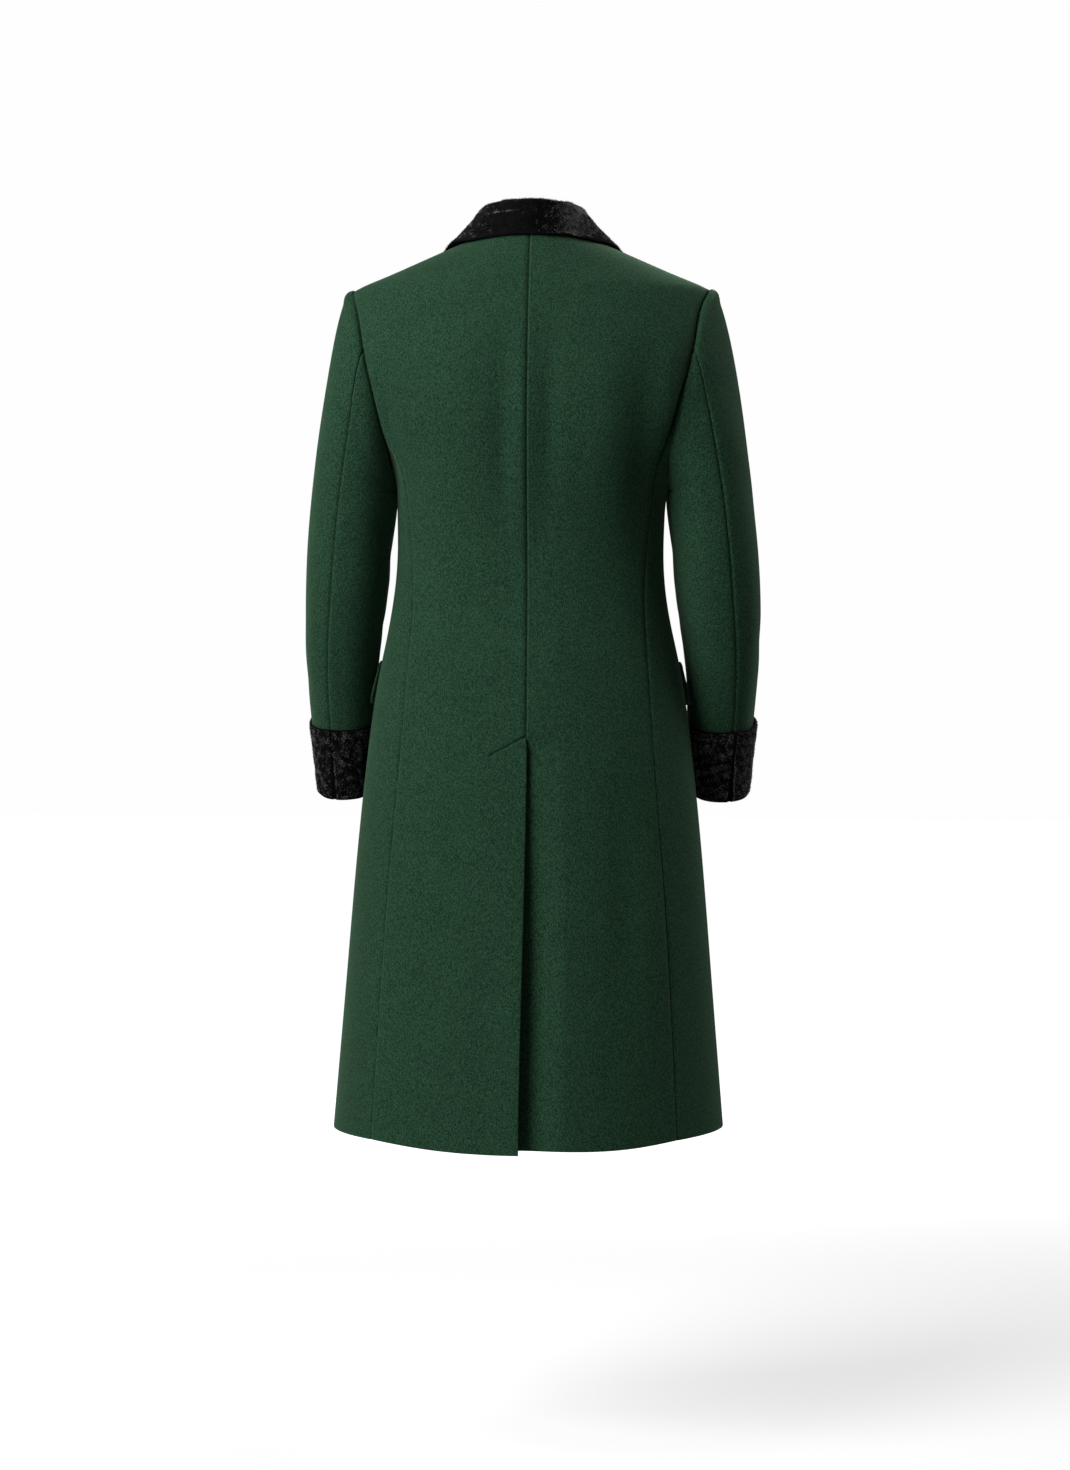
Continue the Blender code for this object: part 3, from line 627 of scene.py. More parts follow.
def turn_at_y(y, z):
    """The turn, on the left half, at which the form's section at z reaches y."""
    side_y = SIDE_Y(z)
    share = np.clip((y - side_y) / half_depth(y > side_y, z), -1, 1)
    return np.arcsin(signed_power(share, SQUARENESS(z) / 2))


def window(along):
    """0 at both ends of a crease, 1 in its middle."""
    return np.sin(math.pi * along) ** CREASE_FADE


def creases(points, side):
    """How far the uneven creases of one side push the cloth out; the points are the left side's."""
    x = points[..., 0] * side
    z = points[..., 2]
    total = np.zeros_like(x)
    for face, x_top, z_top, x_foot, z_foot, half_width, height in CREASES:
        run_x = x_foot - x_top
        run_z = z_foot - z_top
        reach = math.hypot(run_x, run_z)
        from_x = x - x_top
        from_z = z - z_top
        along = np.clip((from_x * run_x + from_z * run_z) / reach ** 2, 0, 1)
        off = (from_x * run_z - from_z * run_x) / reach / half_width
        on_face = points[..., 1] * face >= 0
        total += height * window(along) * np.exp(-off ** 2) * on_face
    return total


def side_folds(turn, z, side):
    """How far the hanging folds of one side push the cloth out."""
    total = np.zeros(turn.shape)
    for turn_top, z_top, turn_foot, z_foot, half_turn, height in SIDE_FOLDS[side]:
        along = np.clip((z - z_top) / (z_foot - z_top), 0, 1)
        middle = turn_top + (turn_foot - turn_top) * along
        total += height * window(along) * hump(turn, middle, half_turn)
    return total


def swell(points, side):
    """How far the cloth stands off the form behind the armhole."""
    x, y, z = np.moveaxis(points, -1, 0)
    off_x = (x - SWELL_AT[0]) / SWELL_REACH[0]
    off_z = (z - SWELL_AT[1]) / SWELL_REACH[1]
    return SWELL[side] * np.exp(-off_x ** 2 - off_z ** 2) * smooth(0.0, SWELL_REACH[0], y)


# Meshes


def from_edge(points, edge):
    """How far each point of a grid lies from one of its edges, along the cloth."""
    axis = 1 if edge in ("first", "last") else 0
    steps = np.linalg.norm(np.diff(points, axis=axis), axis=-1)
    run = np.cumsum(np.insert(steps, 0, 0, axis=axis), axis=axis)
    return run if edge in ("first", "foot") else run.take([-1], axis) - run


def seam_form(far):
    """How a sewn edge dips, with its turnings padding the cloth beside it."""
    return SEAM_PAD * hump(far, SEAM_PAD_AT, SEAM_PAD_SOFT) - SEAM_DIP * hump(far, 0, SEAM_SOFT)


def round_off(far, thick):
    """How far each face of a wall is drawn in where a free edge is rounded."""
    share = 1 - np.clip(far / (EDGE_ROUND * thick), 0, 1)
    return EDGE_DRAWN * thick * (1 - np.sqrt(1 - share ** 2))


def put(name, data):
    """A new object in the scene."""
    made = bpy.data.objects.new(name, data)
    bpy.context.scene.collection.objects.link(made)
    return made


def mesh_data(name, mesh):
    """The data of an edit mesh, which is freed."""
    data = bpy.data.meshes.new(name)
    mesh.to_mesh(data)
    mesh.free()
    return data


def mesh_piece(name, points, faces, material):
    """A smooth piece from lists of points and faces."""
    data = bpy.data.meshes.new(name)
    data.from_pydata(points, [], faces)
    data.materials.append(material)
    data.shade_smooth()
    piece = put(name, data)
    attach(piece, "root")
    return piece


def grid_faces(rows, columns):
    index = np.arange(rows * columns).reshape(rows, columns)
    quads = np.stack([index[:-1, :-1], index[:-1, 1:], index[1:, 1:], index[1:, :-1]], axis=-1)
    border = np.concatenate([index[0, :-1], index[:-1, -1], index[-1, :0:-1], index[:0:-1, 0]])
    return quads.reshape(-1, 4), border


def shell(name, base, away, lift, thick, edges, material):
    """A closed thin wall on a grid of points. Each edge is sewn, with turnings inside (1), or free (0)."""
    dip = np.zeros(base.shape[:2])
    drawn = np.zeros(base.shape[:2])
    deep = thick + np.zeros(base.shape[:2])
    for edge, sewn in edges.items():
        far = from_edge(base, edge)
        dip = dip + sewn * seam_form(far)
        deep = deep + TURNING * sewn * hump(far, 0, TURNING_SOFT)
        drawn = np.maximum(drawn, (1 - sewn) * round_off(far, thick))
    outer = base + away * (lift + dip - drawn)[..., None]
    inner = base + away * (lift + dip - deep + drawn)[..., None]
    rows, columns = base.shape[:2]
    top, border = grid_faces(rows, columns)
    count = rows * columns
    after = np.roll(border, -1)
    rim = np.stack([after, border, border + count, after + count], axis=-1)
    faces = np.concatenate([top, top[:, ::-1] + count, rim])
    r, c = rows // 2, columns // 2
    facing = np.cross(outer[r, c + 1] - outer[r, c], outer[r + 1, c] - outer[r, c]) @ away[r, c]
    if facing < 0:
        faces = faces[:, ::-1]
    points = np.concatenate([outer.reshape(-1, 3), inner.reshape(-1, 3)])
    return mesh_piece(name, points.tolist(), faces.tolist(), material), outer


# Where the panels end


def armhole(angle, side):
    """Turn and height on the form of a point of the armhole: angle 0 is its top, then backwards."""
    middle = (ARMHOLE_TOP_Z + ARMHOLE_FOOT_Z) / 2
    z = middle + (ARMHOLE_TOP_Z - middle) * np.cos(angle)
    share = np.clip(np.sin(angle - ARMHOLE_SKEW[side] * np.sin(angle)), 0, 1)
    behind = ARMHOLE_BACK[side] * share ** ARMHOLE_ROUND[side]
    return turn_at_y(np.where(np.sin(angle) > 0, behind, ARMHOLE_FRONT * np.sin(angle)), z), z


SIDE_TOP_Z = float(armhole(SIDE_BODY_TURN, 1)[1])
SEAM_Z, BACK_SHARES, FRONT_SHARES = zip(*SIDE_SEAMS)


def side_seam(seam_shares, armhole_angle, side):
    """The turn of a side body seam at any height."""
    x = [share * HALF_WIDTH(z) for share, z in zip(seam_shares, SEAM_Z)]
    top = abs(float(armhole(armhole_angle, side)[0]))
    return spline([*SEAM_Z, SIDE_TOP_Z], [*turn_at_x(x, SEAM_Z), top])


BACK_SEAM = {side: side_seam(BACK_SHARES, SIDE_BODY_TURN, side) for side in (1, -1)}
FRONT_SEAM = side_seam(FRONT_SHARES, -SIDE_BODY_TURN, 1)

VENT_LOW_Z, VENT_HIGH_Z = (VENT_TOP_Z + share * VENT_SLANT for share in VENT_FINE_ROWS)
LOWER_Z = np.concatenate([
    HEM_Z + HEM_STEPS,
    levels(HEM_Z + 2 * HEM_STEPS[-1], VENT_LOW_Z, ROW_STEP),
    levels(VENT_LOW_Z, VENT_HIGH_Z, FINE_STEP),
    levels(VENT_HIGH_Z, SIDE_TOP_Z, ROW_STEP),
    [SIDE_TOP_Z],
])
BACK_ANGLES = np.linspace(SIDE_BODY_TURN, 0, ARMHOLE_ROWS + 1)[1:]
SHOULDER_Z = np.linspace(ARMHOLE_TOP_Z, NECK_Z, SHOULDER_ROWS + 1)[1:]
PANEL_Z = np.concatenate([LOWER_Z, armhole(BACK_ANGLES, 1)[1], SHOULDER_Z])
NEAR_X = np.concatenate([np.arange(VENT_UNDERLAP, NEAR_END, -FINE_STEP), NEAR_STEPS])


def panel_edge(seam, sign, side):
    """The turn of a back or front panel's outer edge at each of the panel rows."""
    turns = np.abs(armhole(sign * BACK_ANGLES, side)[0])
    return np.concatenate([seam(LOWER_Z), turns, np.zeros(SHOULDER_ROWS)])


def roll_x(z):
    """The front edge of a front panel: straight up, then along the turned-back top."""
    share = np.clip((z - BREAK_Z) / (NECK_Z - BREAK_Z), 0, 1)
    return -OVERLAP + (ROLL_TOP_X + OVERLAP) * share


# Panels of body and skirt


def wool_piece(part, hand, side, base, away, lift, thick, edges):
    """A wool shell made in place of its node, which it hides."""
    name = f"{part}_{hand}"
    base = sided(base, side)
    piece, _ = shell(name + "_cloth", base, sided(away, side), lift, thick, edges, WOOL_LOOK)
    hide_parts(name)


def hem_rise(turn, z, side):
    """How far the hem is drawn up at the sides, down to nothing at the front seam."""
    forward = np.where(turn < 0, turn / FRONT_SEAM(z), 0.0)
    share = np.where(turn < 0, np.cos(np.clip(forward, -1, 0) * math.pi / 2), np.cos(turn))
    return HEM_RISE[side] * share ** 2 * smooth(SAG_TOP_Z, HEM_Z, z)


def settled_creases(base, side, *sewn):
    """The creases of a panel, which die away where a seam holds the cloth."""
    held = [smooth(0.0, CREASE_SETTLE[side], from_edge(base, edge)) for edge in sewn]
    return creases(base, side) * np.prod(held, axis=0)


def stitch_line(points):
    """How far a point lies from the slanted line of stitches at the top of the vent."""
    x = points[..., 0]
    z = points[..., 2] - VENT_TOP_Z
    reach = math.hypot(STITCH_REACH, VENT_SLANT)
    along = np.clip((x * STITCH_REACH - z * VENT_SLANT) / reach ** 2, 0, 1)
    return np.hypot(x - along * STITCH_REACH, z + along * VENT_SLANT)


def back_panel(hand, side):
    """A back panel; on the left it laps over the vent, on the right it runs on underneath."""
    z = PANEL_Z[:, None]
    opened = np.clip((VENT_TOP_Z - z) / VENT_SLANT, 0, 1)
    deep = smooth(VENT_TOP_Z, VENT_TOP_Z - VENT_FADE, z)
    sway = CENTRE_SWAY * smooth(*CENTRE_SWAY_Z, z)
    if side > 0:
        lap = VENT_LAP * smooth(VENT_TOP_Z, VENT_TOP_Z - VENT_LAP_FADE, z)
        x = NEAR_X - sway - lap + VENT_SWING * smooth(VENT_TOP_Z, HEM_Z, z)
    else:
        x = VENT_UNDERLAP - (VENT_UNDERLAP - NEAR_X - sway) * (1 + opened)
    near = turn_at_x(x, z)
    edge = panel_edge(BACK_SEAM[side], 1, side)[:, None]
    far = edge + (near[:, :1] - edge) * first_shares(BACK_COLUMNS)[:-1]
    turn = np.concatenate([far, near], axis=1)
    from_middle = body(turn, z)[..., 0]
    low = smooth(SAG_TOP_Z, HEM_Z, z)
    reach = np.clip(np.abs(from_middle) / HEM_FULL_REACH, 0, 1) ** HEM_FULL_SKEW
    full = HEM_FULL[side] * np.sin(math.pi * reach) ** HEM_FULL_POWER * low
    level = z + hem_rise(turn, z, side) - full
    if side > 0:
        level = level - SAG * smooth(SAG_REACH, 0.0, from_middle) * low
        lift = VENT_PROUD * deep * smooth(VENT_REACH, 0.0, from_middle)
    else:
        below = smooth(VENT_TOP_Z + VENT_STEP_Z[0], VENT_TOP_Z + VENT_STEP_Z[1], z)
        sunk = VENT_STEP * below + (VENT_DEPTH - VENT_STEP) * deep
        lift = -sunk * smooth(VENT_REACH, VENT_NEAR, from_middle)
    base = body(turn, level)
    lift = lift + settled_creases(base, side, "first") + swell(base, side)
    sewn = smooth(VENT_TOP_Z - CENTRE_END, VENT_TOP_Z, z)
    from_seam = from_edge(base, "last")
    if side > 0:
        lift = lift - GROOVE_DEPTH * hump(stitch_line(base), 0, GROOVE_SOFT)
        lift = lift - CENTRE_DIP * sewn * hump(from_seam, 0, CENTRE_SOFT)
    else:
        lift = lift + CENTRE_LIP * sewn * hump(from_seam, CENTRE_LIP_AT, CENTRE_LIP_SOFT)
    edges = dict(FREE_EDGES, first=1, last=sewn)
    wool_piece("back", hand, side, base, outward(body, turn, level), lift, WOOL, edges)


def side_panel(hand, side):
    """A side body, from the hem up to the foot of the armhole."""
    share = shares(SIDE_COLUMNS)
    top_turn, top_z = armhole(SIDE_BODY_TURN + (2 * math.pi - 2 * SIDE_BODY_TURN) * share, side)
    top_share = (top_turn - top_turn[0]) / (top_turn[-1] - top_turn[0])
    z = LOWER_Z[:, None]
    blend = smooth(SIDE_BODY_FADE_Z, SIDE_TOP_Z, z)
    share = share + (top_share - share) * blend
    turn = BACK_SEAM[side](z) - (BACK_SEAM[side](z) + FRONT_SEAM(z)) * share
    level = z + hem_rise(turn, z, side) + (top_z - SIDE_TOP_Z) * blend
    base = body(turn, level)
    lift = settled_creases(base, side, "first", "last") + side_folds(turn, level, side)
    edges = dict(FREE_EDGES, first=1, last=1, top=1)
    wool_piece("side", hand, side, base, outward(body, turn, level), lift, WOOL, edges)


def front_panel(hand, side):
    """A front: the left one laps over, the right one runs on underneath."""
    z = PANEL_Z[:, None]
    near = turn_at_x(roll_x(z), z)
    edge = panel_edge(FRONT_SEAM, -1, side)[:, None]
    turn = -(edge + (near - edge) * shares(FRONT_COLUMNS))
    base = body(turn, z)
    near_edge = smooth(FRONT_STEP_REACH, FRONT_STEP_REACH / 2, base[..., 0])
    sunk = FRONT_STEP * near_edge * smooth(*ROLL_FADE_Z, z)
    lift = settled_creases(base, side, "first") - (0 if side > 0 else sunk)
    edges = dict(FREE_EDGES, first=1)
    wool_piece("front", hand, side, base, outward(body, turn, z), lift, WOOL, edges)


# Sleeves and cuffs


ARM_X, ARM_Y, ARM_RADIUS_X, ARM_RADIUS_Y, ARM_TILT = curves(ARM)


def arm(angle, z):
    """A point of the sleeve below the biceps: angle 0 is its outer side, a quarter turn the back."""
    tilt = np.radians(ARM_TILT(z))
    reach = ARM_RADIUS_Y(z) * signed_power(np.sin(angle), 2 / ARM_SQUARENESS)
    x = ARM_X(z) + ARM_RADIUS_X(z) * signed_power(np.cos(angle), 2 / ARM_SQUARENESS)
    y = ARM_Y(z) + reach * np.cos(tilt)
    return np.stack(np.broadcast_arrays(x, y, z - reach * np.sin(tilt)), axis=-1)


def cap(angle, share, side):
    """A point of the sleeve head, between the armhole (share 0) and the biceps (share 1)."""
    turn, z = armhole(angle, side)
    zero = np.zeros_like(angle)
    leave = np.stack([1 + np.cos(angle), np.sin(angle), np.cos(angle)], axis=-1) * HEAD_PULL
    start = body(turn, z)
    start = start + outward(body, turn, z) * swell(start, side)[..., None]
    end = arm(angle, BICEPS_Z + zero)
    reach = np.linalg.norm(end - start, axis=-1, keepdims=True)
    arrive = unit(arm(angle, BICEPS_Z - NUDGE + zero) - end) * reach * CAP_PULL
    s = np.asarray(share, float)[..., None]
    keep_start = 2 * s ** 3 - 3 * s ** 2 + 1
    pull_start = s ** 3 - 2 * s ** 2 + s
    pull_end = s ** 3 - s ** 2
    return start * keep_start + leave * pull_start + end * (1 - keep_start) + arrive * pull_end


def sleeve(angle, length, side):
    """A point of the sleeve: length runs from 0 at the armhole by 1 at the biceps to 2 at the wrist."""
    angle, length = np.broadcast_arrays(np.asarray(angle, float), np.asarray(length, float))
    upper = cap(angle, np.clip(length, 0, 1), side)
    lower = arm(angle, BICEPS_Z - ARM_LENGTH * np.clip(length - 1, 0, None))
    return np.where((length < 1)[..., None], upper, lower)


def hind_seam(length, side):
    """The angle of the seam down the back of the sleeve."""
    lengths, angles = zip((0.0, math.degrees(HIND_ANGLE)), *HIND_SEAM[side])
    return np.radians(spline(lengths, angles)(length))


def sleeve_away(angle, length, side):
    """The outward direction of the sleeve."""
    early = np.maximum(length, 2 * NUDGE)
    return -outward(lambda a, s: sleeve(a, s, side), angle, early)


def swung(angles, length, side):
    """Angles of the armhole, drawn along with the hind seam as it runs down the sleeve."""
    fore = np.where(angles > HIND_ANGLE, 2 * math.pi, 0) - SIDE_BODY_TURN
    share = 1 - np.abs(angles - HIND_ANGLE) / np.abs(fore - HIND_ANGLE)
    return angles + (hind_seam(length, side) - HIND_ANGLE) * share


TOP_ANGLES = -SIDE_BODY_TURN + (HIND_ANGLE + SIDE_BODY_TURN) * shares(TOP_COLUMNS)
UNDER_ANGLES = HIND_ANGLE + (2 * math.pi - SIDE_BODY_TURN - HIND_ANGLE) * shares(UNDER_COLUMNS)


def arm_creases(angle, length, hand):
    """How far the creases of a sleeve push its cloth out."""
    total = np.zeros(np.broadcast_shapes(angle.shape, length.shape))
    for middle, at, reach_round, reach_along, slant, height in ARM_CREASES[hand]:
        off = (np.degrees(angle) - middle + 180) % 360 - 180
        along = length - at - slant * off
        total += height * np.exp(-(off / reach_round) ** 2 - (along / reach_along) ** 2)
    inner = hump(np.degrees(angle) % 360, 180, UNDERARM_REACH)
    start, end = UNDERARM_LENGTHS
    return total + UNDERARM * inner * smooth(*start, length) * smooth(*end, length)


def sleeve_piece(part, hand, side, angles):
    """A sleeve piece whose columns start at the given angles of the armhole."""
    wrist = SLEEVE_END - EDGE_SHARES[::-1] / 4
    middle = np.linspace(1, wrist[0], ARM_ROWS)[1:-1]
    length = np.concatenate([first_shares(CAP_ROWS), middle, wrist])[:, None]
    angle = swung(angles, length, side)
    base = sleeve(angle, length, side)
    away = sleeve_away(angle, length, side)
    tuck = base[:1] - unit(base[1:2] - base[:1]) * TUCK[:, None, None]
    base = np.concatenate([tuck, base])
    grids = (angle, length, away)
    angle, length, away = (np.concatenate([grid[:1]] * len(TUCK) + [grid]) for grid in grids)
    run = from_edge(base, "foot") - TUCK[0]
    rope = ROPE * hump(run, ROPE_AT, ROPE_SOFT) * np.clip(np.cos(angle), 0, 1) ** ROPE_FADE
    lift = rope + arm_creases(angle, length, hand) + seam_form(np.abs(run))
    edges = dict(FREE_EDGES, first=1, last=1)
    wool_piece(part, hand, side, base, away, lift, WOOL, edges)


def cuff(hand, side):
    """A turned-back cuff round the sleeve's end, open at its back seam."""
    top = 1 + (BICEPS_Z - CUFF_TOP_Z) / ARM_LENGTH
    length = (top + (2 - top) * shares(CUFF_ROWS))[:, None]
    under = swung(UNDER_ANGLES, length, side)
    over = swung(TOP_ANGLES, length, side) + 2 * math.pi
    angle = np.concatenate([under, over[:, 1:]], axis=1)
    columns = angle.shape[1]
    notch = CUFF_SLIT + CUFF_NOTCH * smooth(*CUFF_NOTCH_LENGTHS, length)
    angle = angle + notch / WRIST_RADIUS * np.linspace(1, -1, columns)
    angle = np.concatenate([angle, angle[:, -1:] + CUFF_UNDERLAP], axis=1)
    under_slit = np.arange(angle.shape[1]) >= columns
    base = sleeve(angle, length, side)
    away = sided(sleeve_away(angle, length, side), side)
    flare = CUFF_FLARE[side] * smooth((2 + top) / 2, top, length)
    uneven = CUFF_UNEVEN * ripple(base, CUFF_UNEVEN_SIZE, CUFF_UNEVEN_SEED + side)
    lift = np.where(under_slit, (LAY_GAP + UNDERLAP_THICK) / 2, CUFF_STAND[side] + flare + uneven)
    thick = np.where(under_slit, UNDERLAP_THICK, CUFF_STAND[side] - LAY_GAP)
    base = sided(base, side)
    piece, outer = shell(f"cuff_{hand}_cloth", base, away, lift, thick, FREE_EDGES, PILE_LOOK)
    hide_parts(f"cuff_{hand}")
    shown = outer[:, :columns]
    down = unit(np.gradient(shown, axis=0))
    calm = CUFF_CALM[side] * smooth(*CUFF_CALM_REACH, from_edge(shown, "last"))
    clear = np.ones_like(length) if side < 0 else smooth(*SLIT_LENGTHS, length)
    from_slit = from_edge(shown, "first" if side > 0 else "last") - SLIT_MARGIN
    # Painted light in the pile's grey: the right cuff made greyer where the coat shades it, and a painted
    # highlight along the slit's edge
    grey = CUFF_GREY_AND_LIGHT[side] + SLIT_LIP_HIGHLIGHT * clear * hump(from_slit, SLIT_LIP_HIGHLIGHT_AT, SLIT_LIP_HIGHLIGHT_SOFT)
    seed = CUFF_HAIRS_SEED + side
    margin = SLIT_MARGIN * clear
    hairs = pile(f"cuff_{hand}_pile", shown, away, down, CUFF_HAIRS, seed, grey, calm, margin)


# Pile


def pile(name, grid, away, nap, count, seed, grey, calm, margin):
    """Short hairs on a grid of points, leaning along its nap in tufts, off its sides by a margin."""
    rng = np.random.default_rng(seed)
    across = grid[1:, 1:] - grid[:-1, :-1]
    back = grid[1:, :-1] - grid[:-1, 1:]
    size = np.linalg.norm(np.cross(across, back), axis=-1)
    ends = np.minimum(from_edge(grid, "foot"), from_edge(grid, "top"))
    sides = np.minimum(from_edge(grid, "first"), from_edge(grid, "last"))
    thicker = 1 + CROWD * np.clip(grey - CROWD_FROM, 0, 1)
    size = (size * (thicker * (ends > HAIR_LENGTH) * (sides > margin))[1:, 1:]).reshape(-1)
    cell = rng.choice(len(size), count, p=size / size.sum())
    row, column = np.divmod(cell, grid.shape[1] - 1)
    u = rng.random((count, 1))
    v = rng.random((count, 1))

    def spread(values):
        near = values[row, column] * (1 - u) + values[row, column + 1] * u
        far = values[row + 1, column] * (1 - u) + values[row + 1, column + 1] * u
        return near * (1 - v) + far * v

    root = spread(grid)

    def wave(size, more, waves=7):
        return ripple(root, size, seed + more, waves)

    normal = unit(spread(away))
    way = unit(spread(nap))
    cross = np.cross(normal, way)
    swirl = wave(**SWIRL_WAVE)[:, None] + SWIRL_OWN * rng.normal(size=(count, 1))
    lean = LEAN + LEAN_MORE * wave(**LEAN_WAVE)[:, None] + LEAN_OWN * rng.normal(size=(count, 1))
    tip_way = unit(normal + way * lean + cross * SWIRL * swirl)
    tip = root + tip_way * HAIR_LENGTH * rng.uniform(*HAIR_SPREAD, (count, 1))
    first = unit(np.cross(tip_way, normal + HAIR_TILT * way))
    second = np.cross(tip_way, first)
    foot = root - normal * HAIR_RADIUS
    thirds = [2 * math.pi * k / 3 for k in range(3)]
    ring = [foot + HAIR_RADIUS * (first * math.cos(a) + second * math.sin(a)) for a in thirds]
    points = np.stack(ring + [tip], axis=1).reshape(-1, 3)
    start = 4 * np.arange(count)[:, None]
    faces = np.concatenate([start + side for side in ((0, 1, 3), (1, 2, 3), (2, 0, 3))])
    piece = mesh_piece(name, points.tolist(), faces.tolist(), HAIR_LOOK)
    tuft = TUFT_FINE * wave(**TUFT_FINE_WAVE) + TUFT_BROAD * wave(**TUFT_BROAD_WAVE)
    # grey holds the pile's own grey and also the painted sheen, painted light and painted highlights of
    # collar and cuffs
    tuft = tuft * (1 - spread(calm[..., None])[:, 0]) + spread(grey[..., None])[:, 0]
    tuft = tuft + TUFT_OWN * rng.normal(size=count)
    shade = SHADE_LEAST + (1 - SHADE_LEAST) * smooth(*SHADE_RANGE, tuft)
    shade = np.clip(shade + SHADE_OWN * rng.normal(size=count), 0, 1)
    value = piece.data.attributes.new("shade", "FLOAT", "POINT")
    value.data.foreach_set("value", np.repeat(shade, 4).astype(np.float32))
    return piece


# Collar


def clear_of_body(points, space):
    """Moves points out of the form until they stand clear of it by the given space."""
    points = points.copy()

    def depth(at):
        z = np.minimum(at[..., 2], NECK_Z)
        side_y = SIDE_Y(z)
        reach = half_depth(at[..., 1] > side_y, z)
        power = SQUARENESS(z)
        share_x = np.abs(at[..., 0]) / HALF_WIDTH(z)
        share_y = np.abs(at[..., 1] - side_y) / reach
        return (share_x ** power + share_y ** power) ** (1 / power) - 1

    for _ in range(CLEARING_PASSES):
        steps = NUDGE * np.eye(3)
        rise = [depth(points + step) - depth(points - step) for step in steps]
        slope = np.stack(rise, axis=-1) / (2 * NUDGE)
        steep = np.linalg.norm(slope, axis=-1)
        short = np.maximum(space - depth(points) / steep, 0) * (points[..., 2] < NECK_Z)
        points += slope / steep[..., None] * short[..., None]
    return points


def collar_stations(side):
    """Points of seam, fold and edge on half the collar, from centre back to the break."""
    stations = []
    for seam_x, rise, lean, edge_x, edge_z in COLLAR_BACK:
        turn = turn_at_x(seam_x, NECK_Z)
        level = unit(outward(body, turn, NECK_Z) * np.array((1, 1, 0)))
        seam = body(turn, NECK_Z + LAY_GAP)
        fold = seam + level * lean + np.array((0, 0, rise))
        stations.append((seam, fold, body(turn_at_x(edge_x, edge_z), edge_z)))
    for seam_z, rise, lean, edge_x, edge_z, lift in COLLAR_FRONT:
        seam_x = float(roll_x(seam_z))
        if side < 0 and seam_x < LAY_GAP:
            seam_x = PILE - seam_x
            edge_x = max(edge_x, seam_x + TIP_WIDTH)
        turn = -turn_at_x(seam_x, seam_z)
        away = outward(body, turn, seam_z)
        seam = body(turn, seam_z) + away * lift
        fold = seam + away * lean + np.array((0, 0, rise))
        stations.append((seam, fold, body(-turn_at_x(edge_x, edge_z), edge_z)))
    return sided(np.array(stations), side)


def collar_lines():
    """Seam, fold and edge of the collar, as smooth lines from the right break round to the left."""
    stations = np.concatenate([collar_stations(-1)[:0:-1], collar_stations(1)])
    count = len(stations)
    at = np.linspace(0, count - 1, (count - 1) * COLLAR_STEPS + 1)
    columns = stations.reshape(count, -1).T
    lines = np.stack([glide(np.arange(count), column)(at) for column in columns], axis=-1)
    soften(lines, 2 * COLLAR_STEPS)
    return lines.reshape(-1, 3, 3).swapaxes(0, 1)


def collar_sheet():
    """The collar's middle surface: up the stand, over the fold and down the fall."""
    seam, fold, edge = collar_lines()
    up = unit(fold - seam)
    tall = np.linalg.norm(fold - seam, axis=-1, keepdims=True)
    out = edge - seam
    out = unit(out - up * np.sum(out * up, axis=-1, keepdims=True))
    radius = np.minimum(FOLD_RADIUS, FOLD_SHARE * tall)
    stand = fold - up * radius - seam
    path = [seam + stand * share for share in np.linspace(0, 1, STAND_ROWS, endpoint=False)]
    for angle in np.linspace(0, math.pi, FOLD_ROWS + 1):
        path.append(fold + radius * (up * (math.sin(angle) - 1) + out * (1 - math.cos(angle))))
    start = path[-1]
    for share in np.linspace(0, 1, FALL_ROWS + 1)[1:]:
        path.append(clear_of_body(start + (edge - start) * share, PILE / 2 + COLLAR_GAP))
    return np.stack(path, axis=1)


def collar():
    """The collar: a shell with its pile, with painted sheen on the right, a painted highlight along a
    parting, and smoothed behind.
    """
    sheet = collar_sheet()
    soften(sheet.swapaxes(0, 1), SOFTENING_PASSES)
    down = np.gradient(sheet, axis=1)
    away = unit(np.cross(np.gradient(sheet, axis=0), down))
    lift = PILE / 2 + COLLAR_UNEVEN * ripple(sheet, COLLAR_UNEVEN_SIZE, COLLAR_UNEVEN_SEED)
    for side, proud in SHOULDER_PROUD.items():
        near = hump(sheet[..., 0], side * SHOULDER_AT, SHOULDER_REACH)
        lift = lift + proud * near * smooth(*COLLAR_BEHIND_Y, sheet[..., 1])
    piece, outer = shell("collar_cloth", sheet, away, lift, PILE, FREE_EDGES, PILE_LOOK)
    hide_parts("collar")
    x = outer[..., 0]
    behind = smooth(*COLLAR_BEHIND_Y, outer[..., 1])
    from_seam = from_edge(sheet, "first")
    # Painted sheen on the right and a painted highlight along the parting, both put into the grey of the
    # hairs
    painted_sheen = PAINTED_SHEEN * hump(x, PAINTED_SHEEN_X, PAINTED_SHEEN_REACH) * behind * smooth(*PAINTED_SHEEN_FROM, from_seam)
    highlight_span = np.exp(-((x - PARTING_HIGHLIGHT_X) / PARTING_HIGHLIGHT_REACH) ** 4)
    parting_highlight = PARTING_HIGHLIGHT * hump(from_seam, PARTING_HIGHLIGHT_AT, PARTING_HIGHLIGHT_SOFT) * highlight_span * behind
    smoothed = SMOOTHED + SMOOTHED_MORE * smooth(*SMOOTHED_X, x) * behind
    patches = PATCHES * ripple(outer, PATCH_SIZE, PATCH_SEED, PATCH_WAVES) * (1 - behind)
    grey = np.maximum(painted_sheen + patches - smoothed, parting_highlight)
    calm = np.zeros_like(grey)
    hairs = pile("collar_pile", outer, away, unit(down), COLLAR_HAIRS, COLLAR_HAIRS_SEED, grey, calm,
                 HAIR_LENGTH)


# Flaps, buttons and sewing


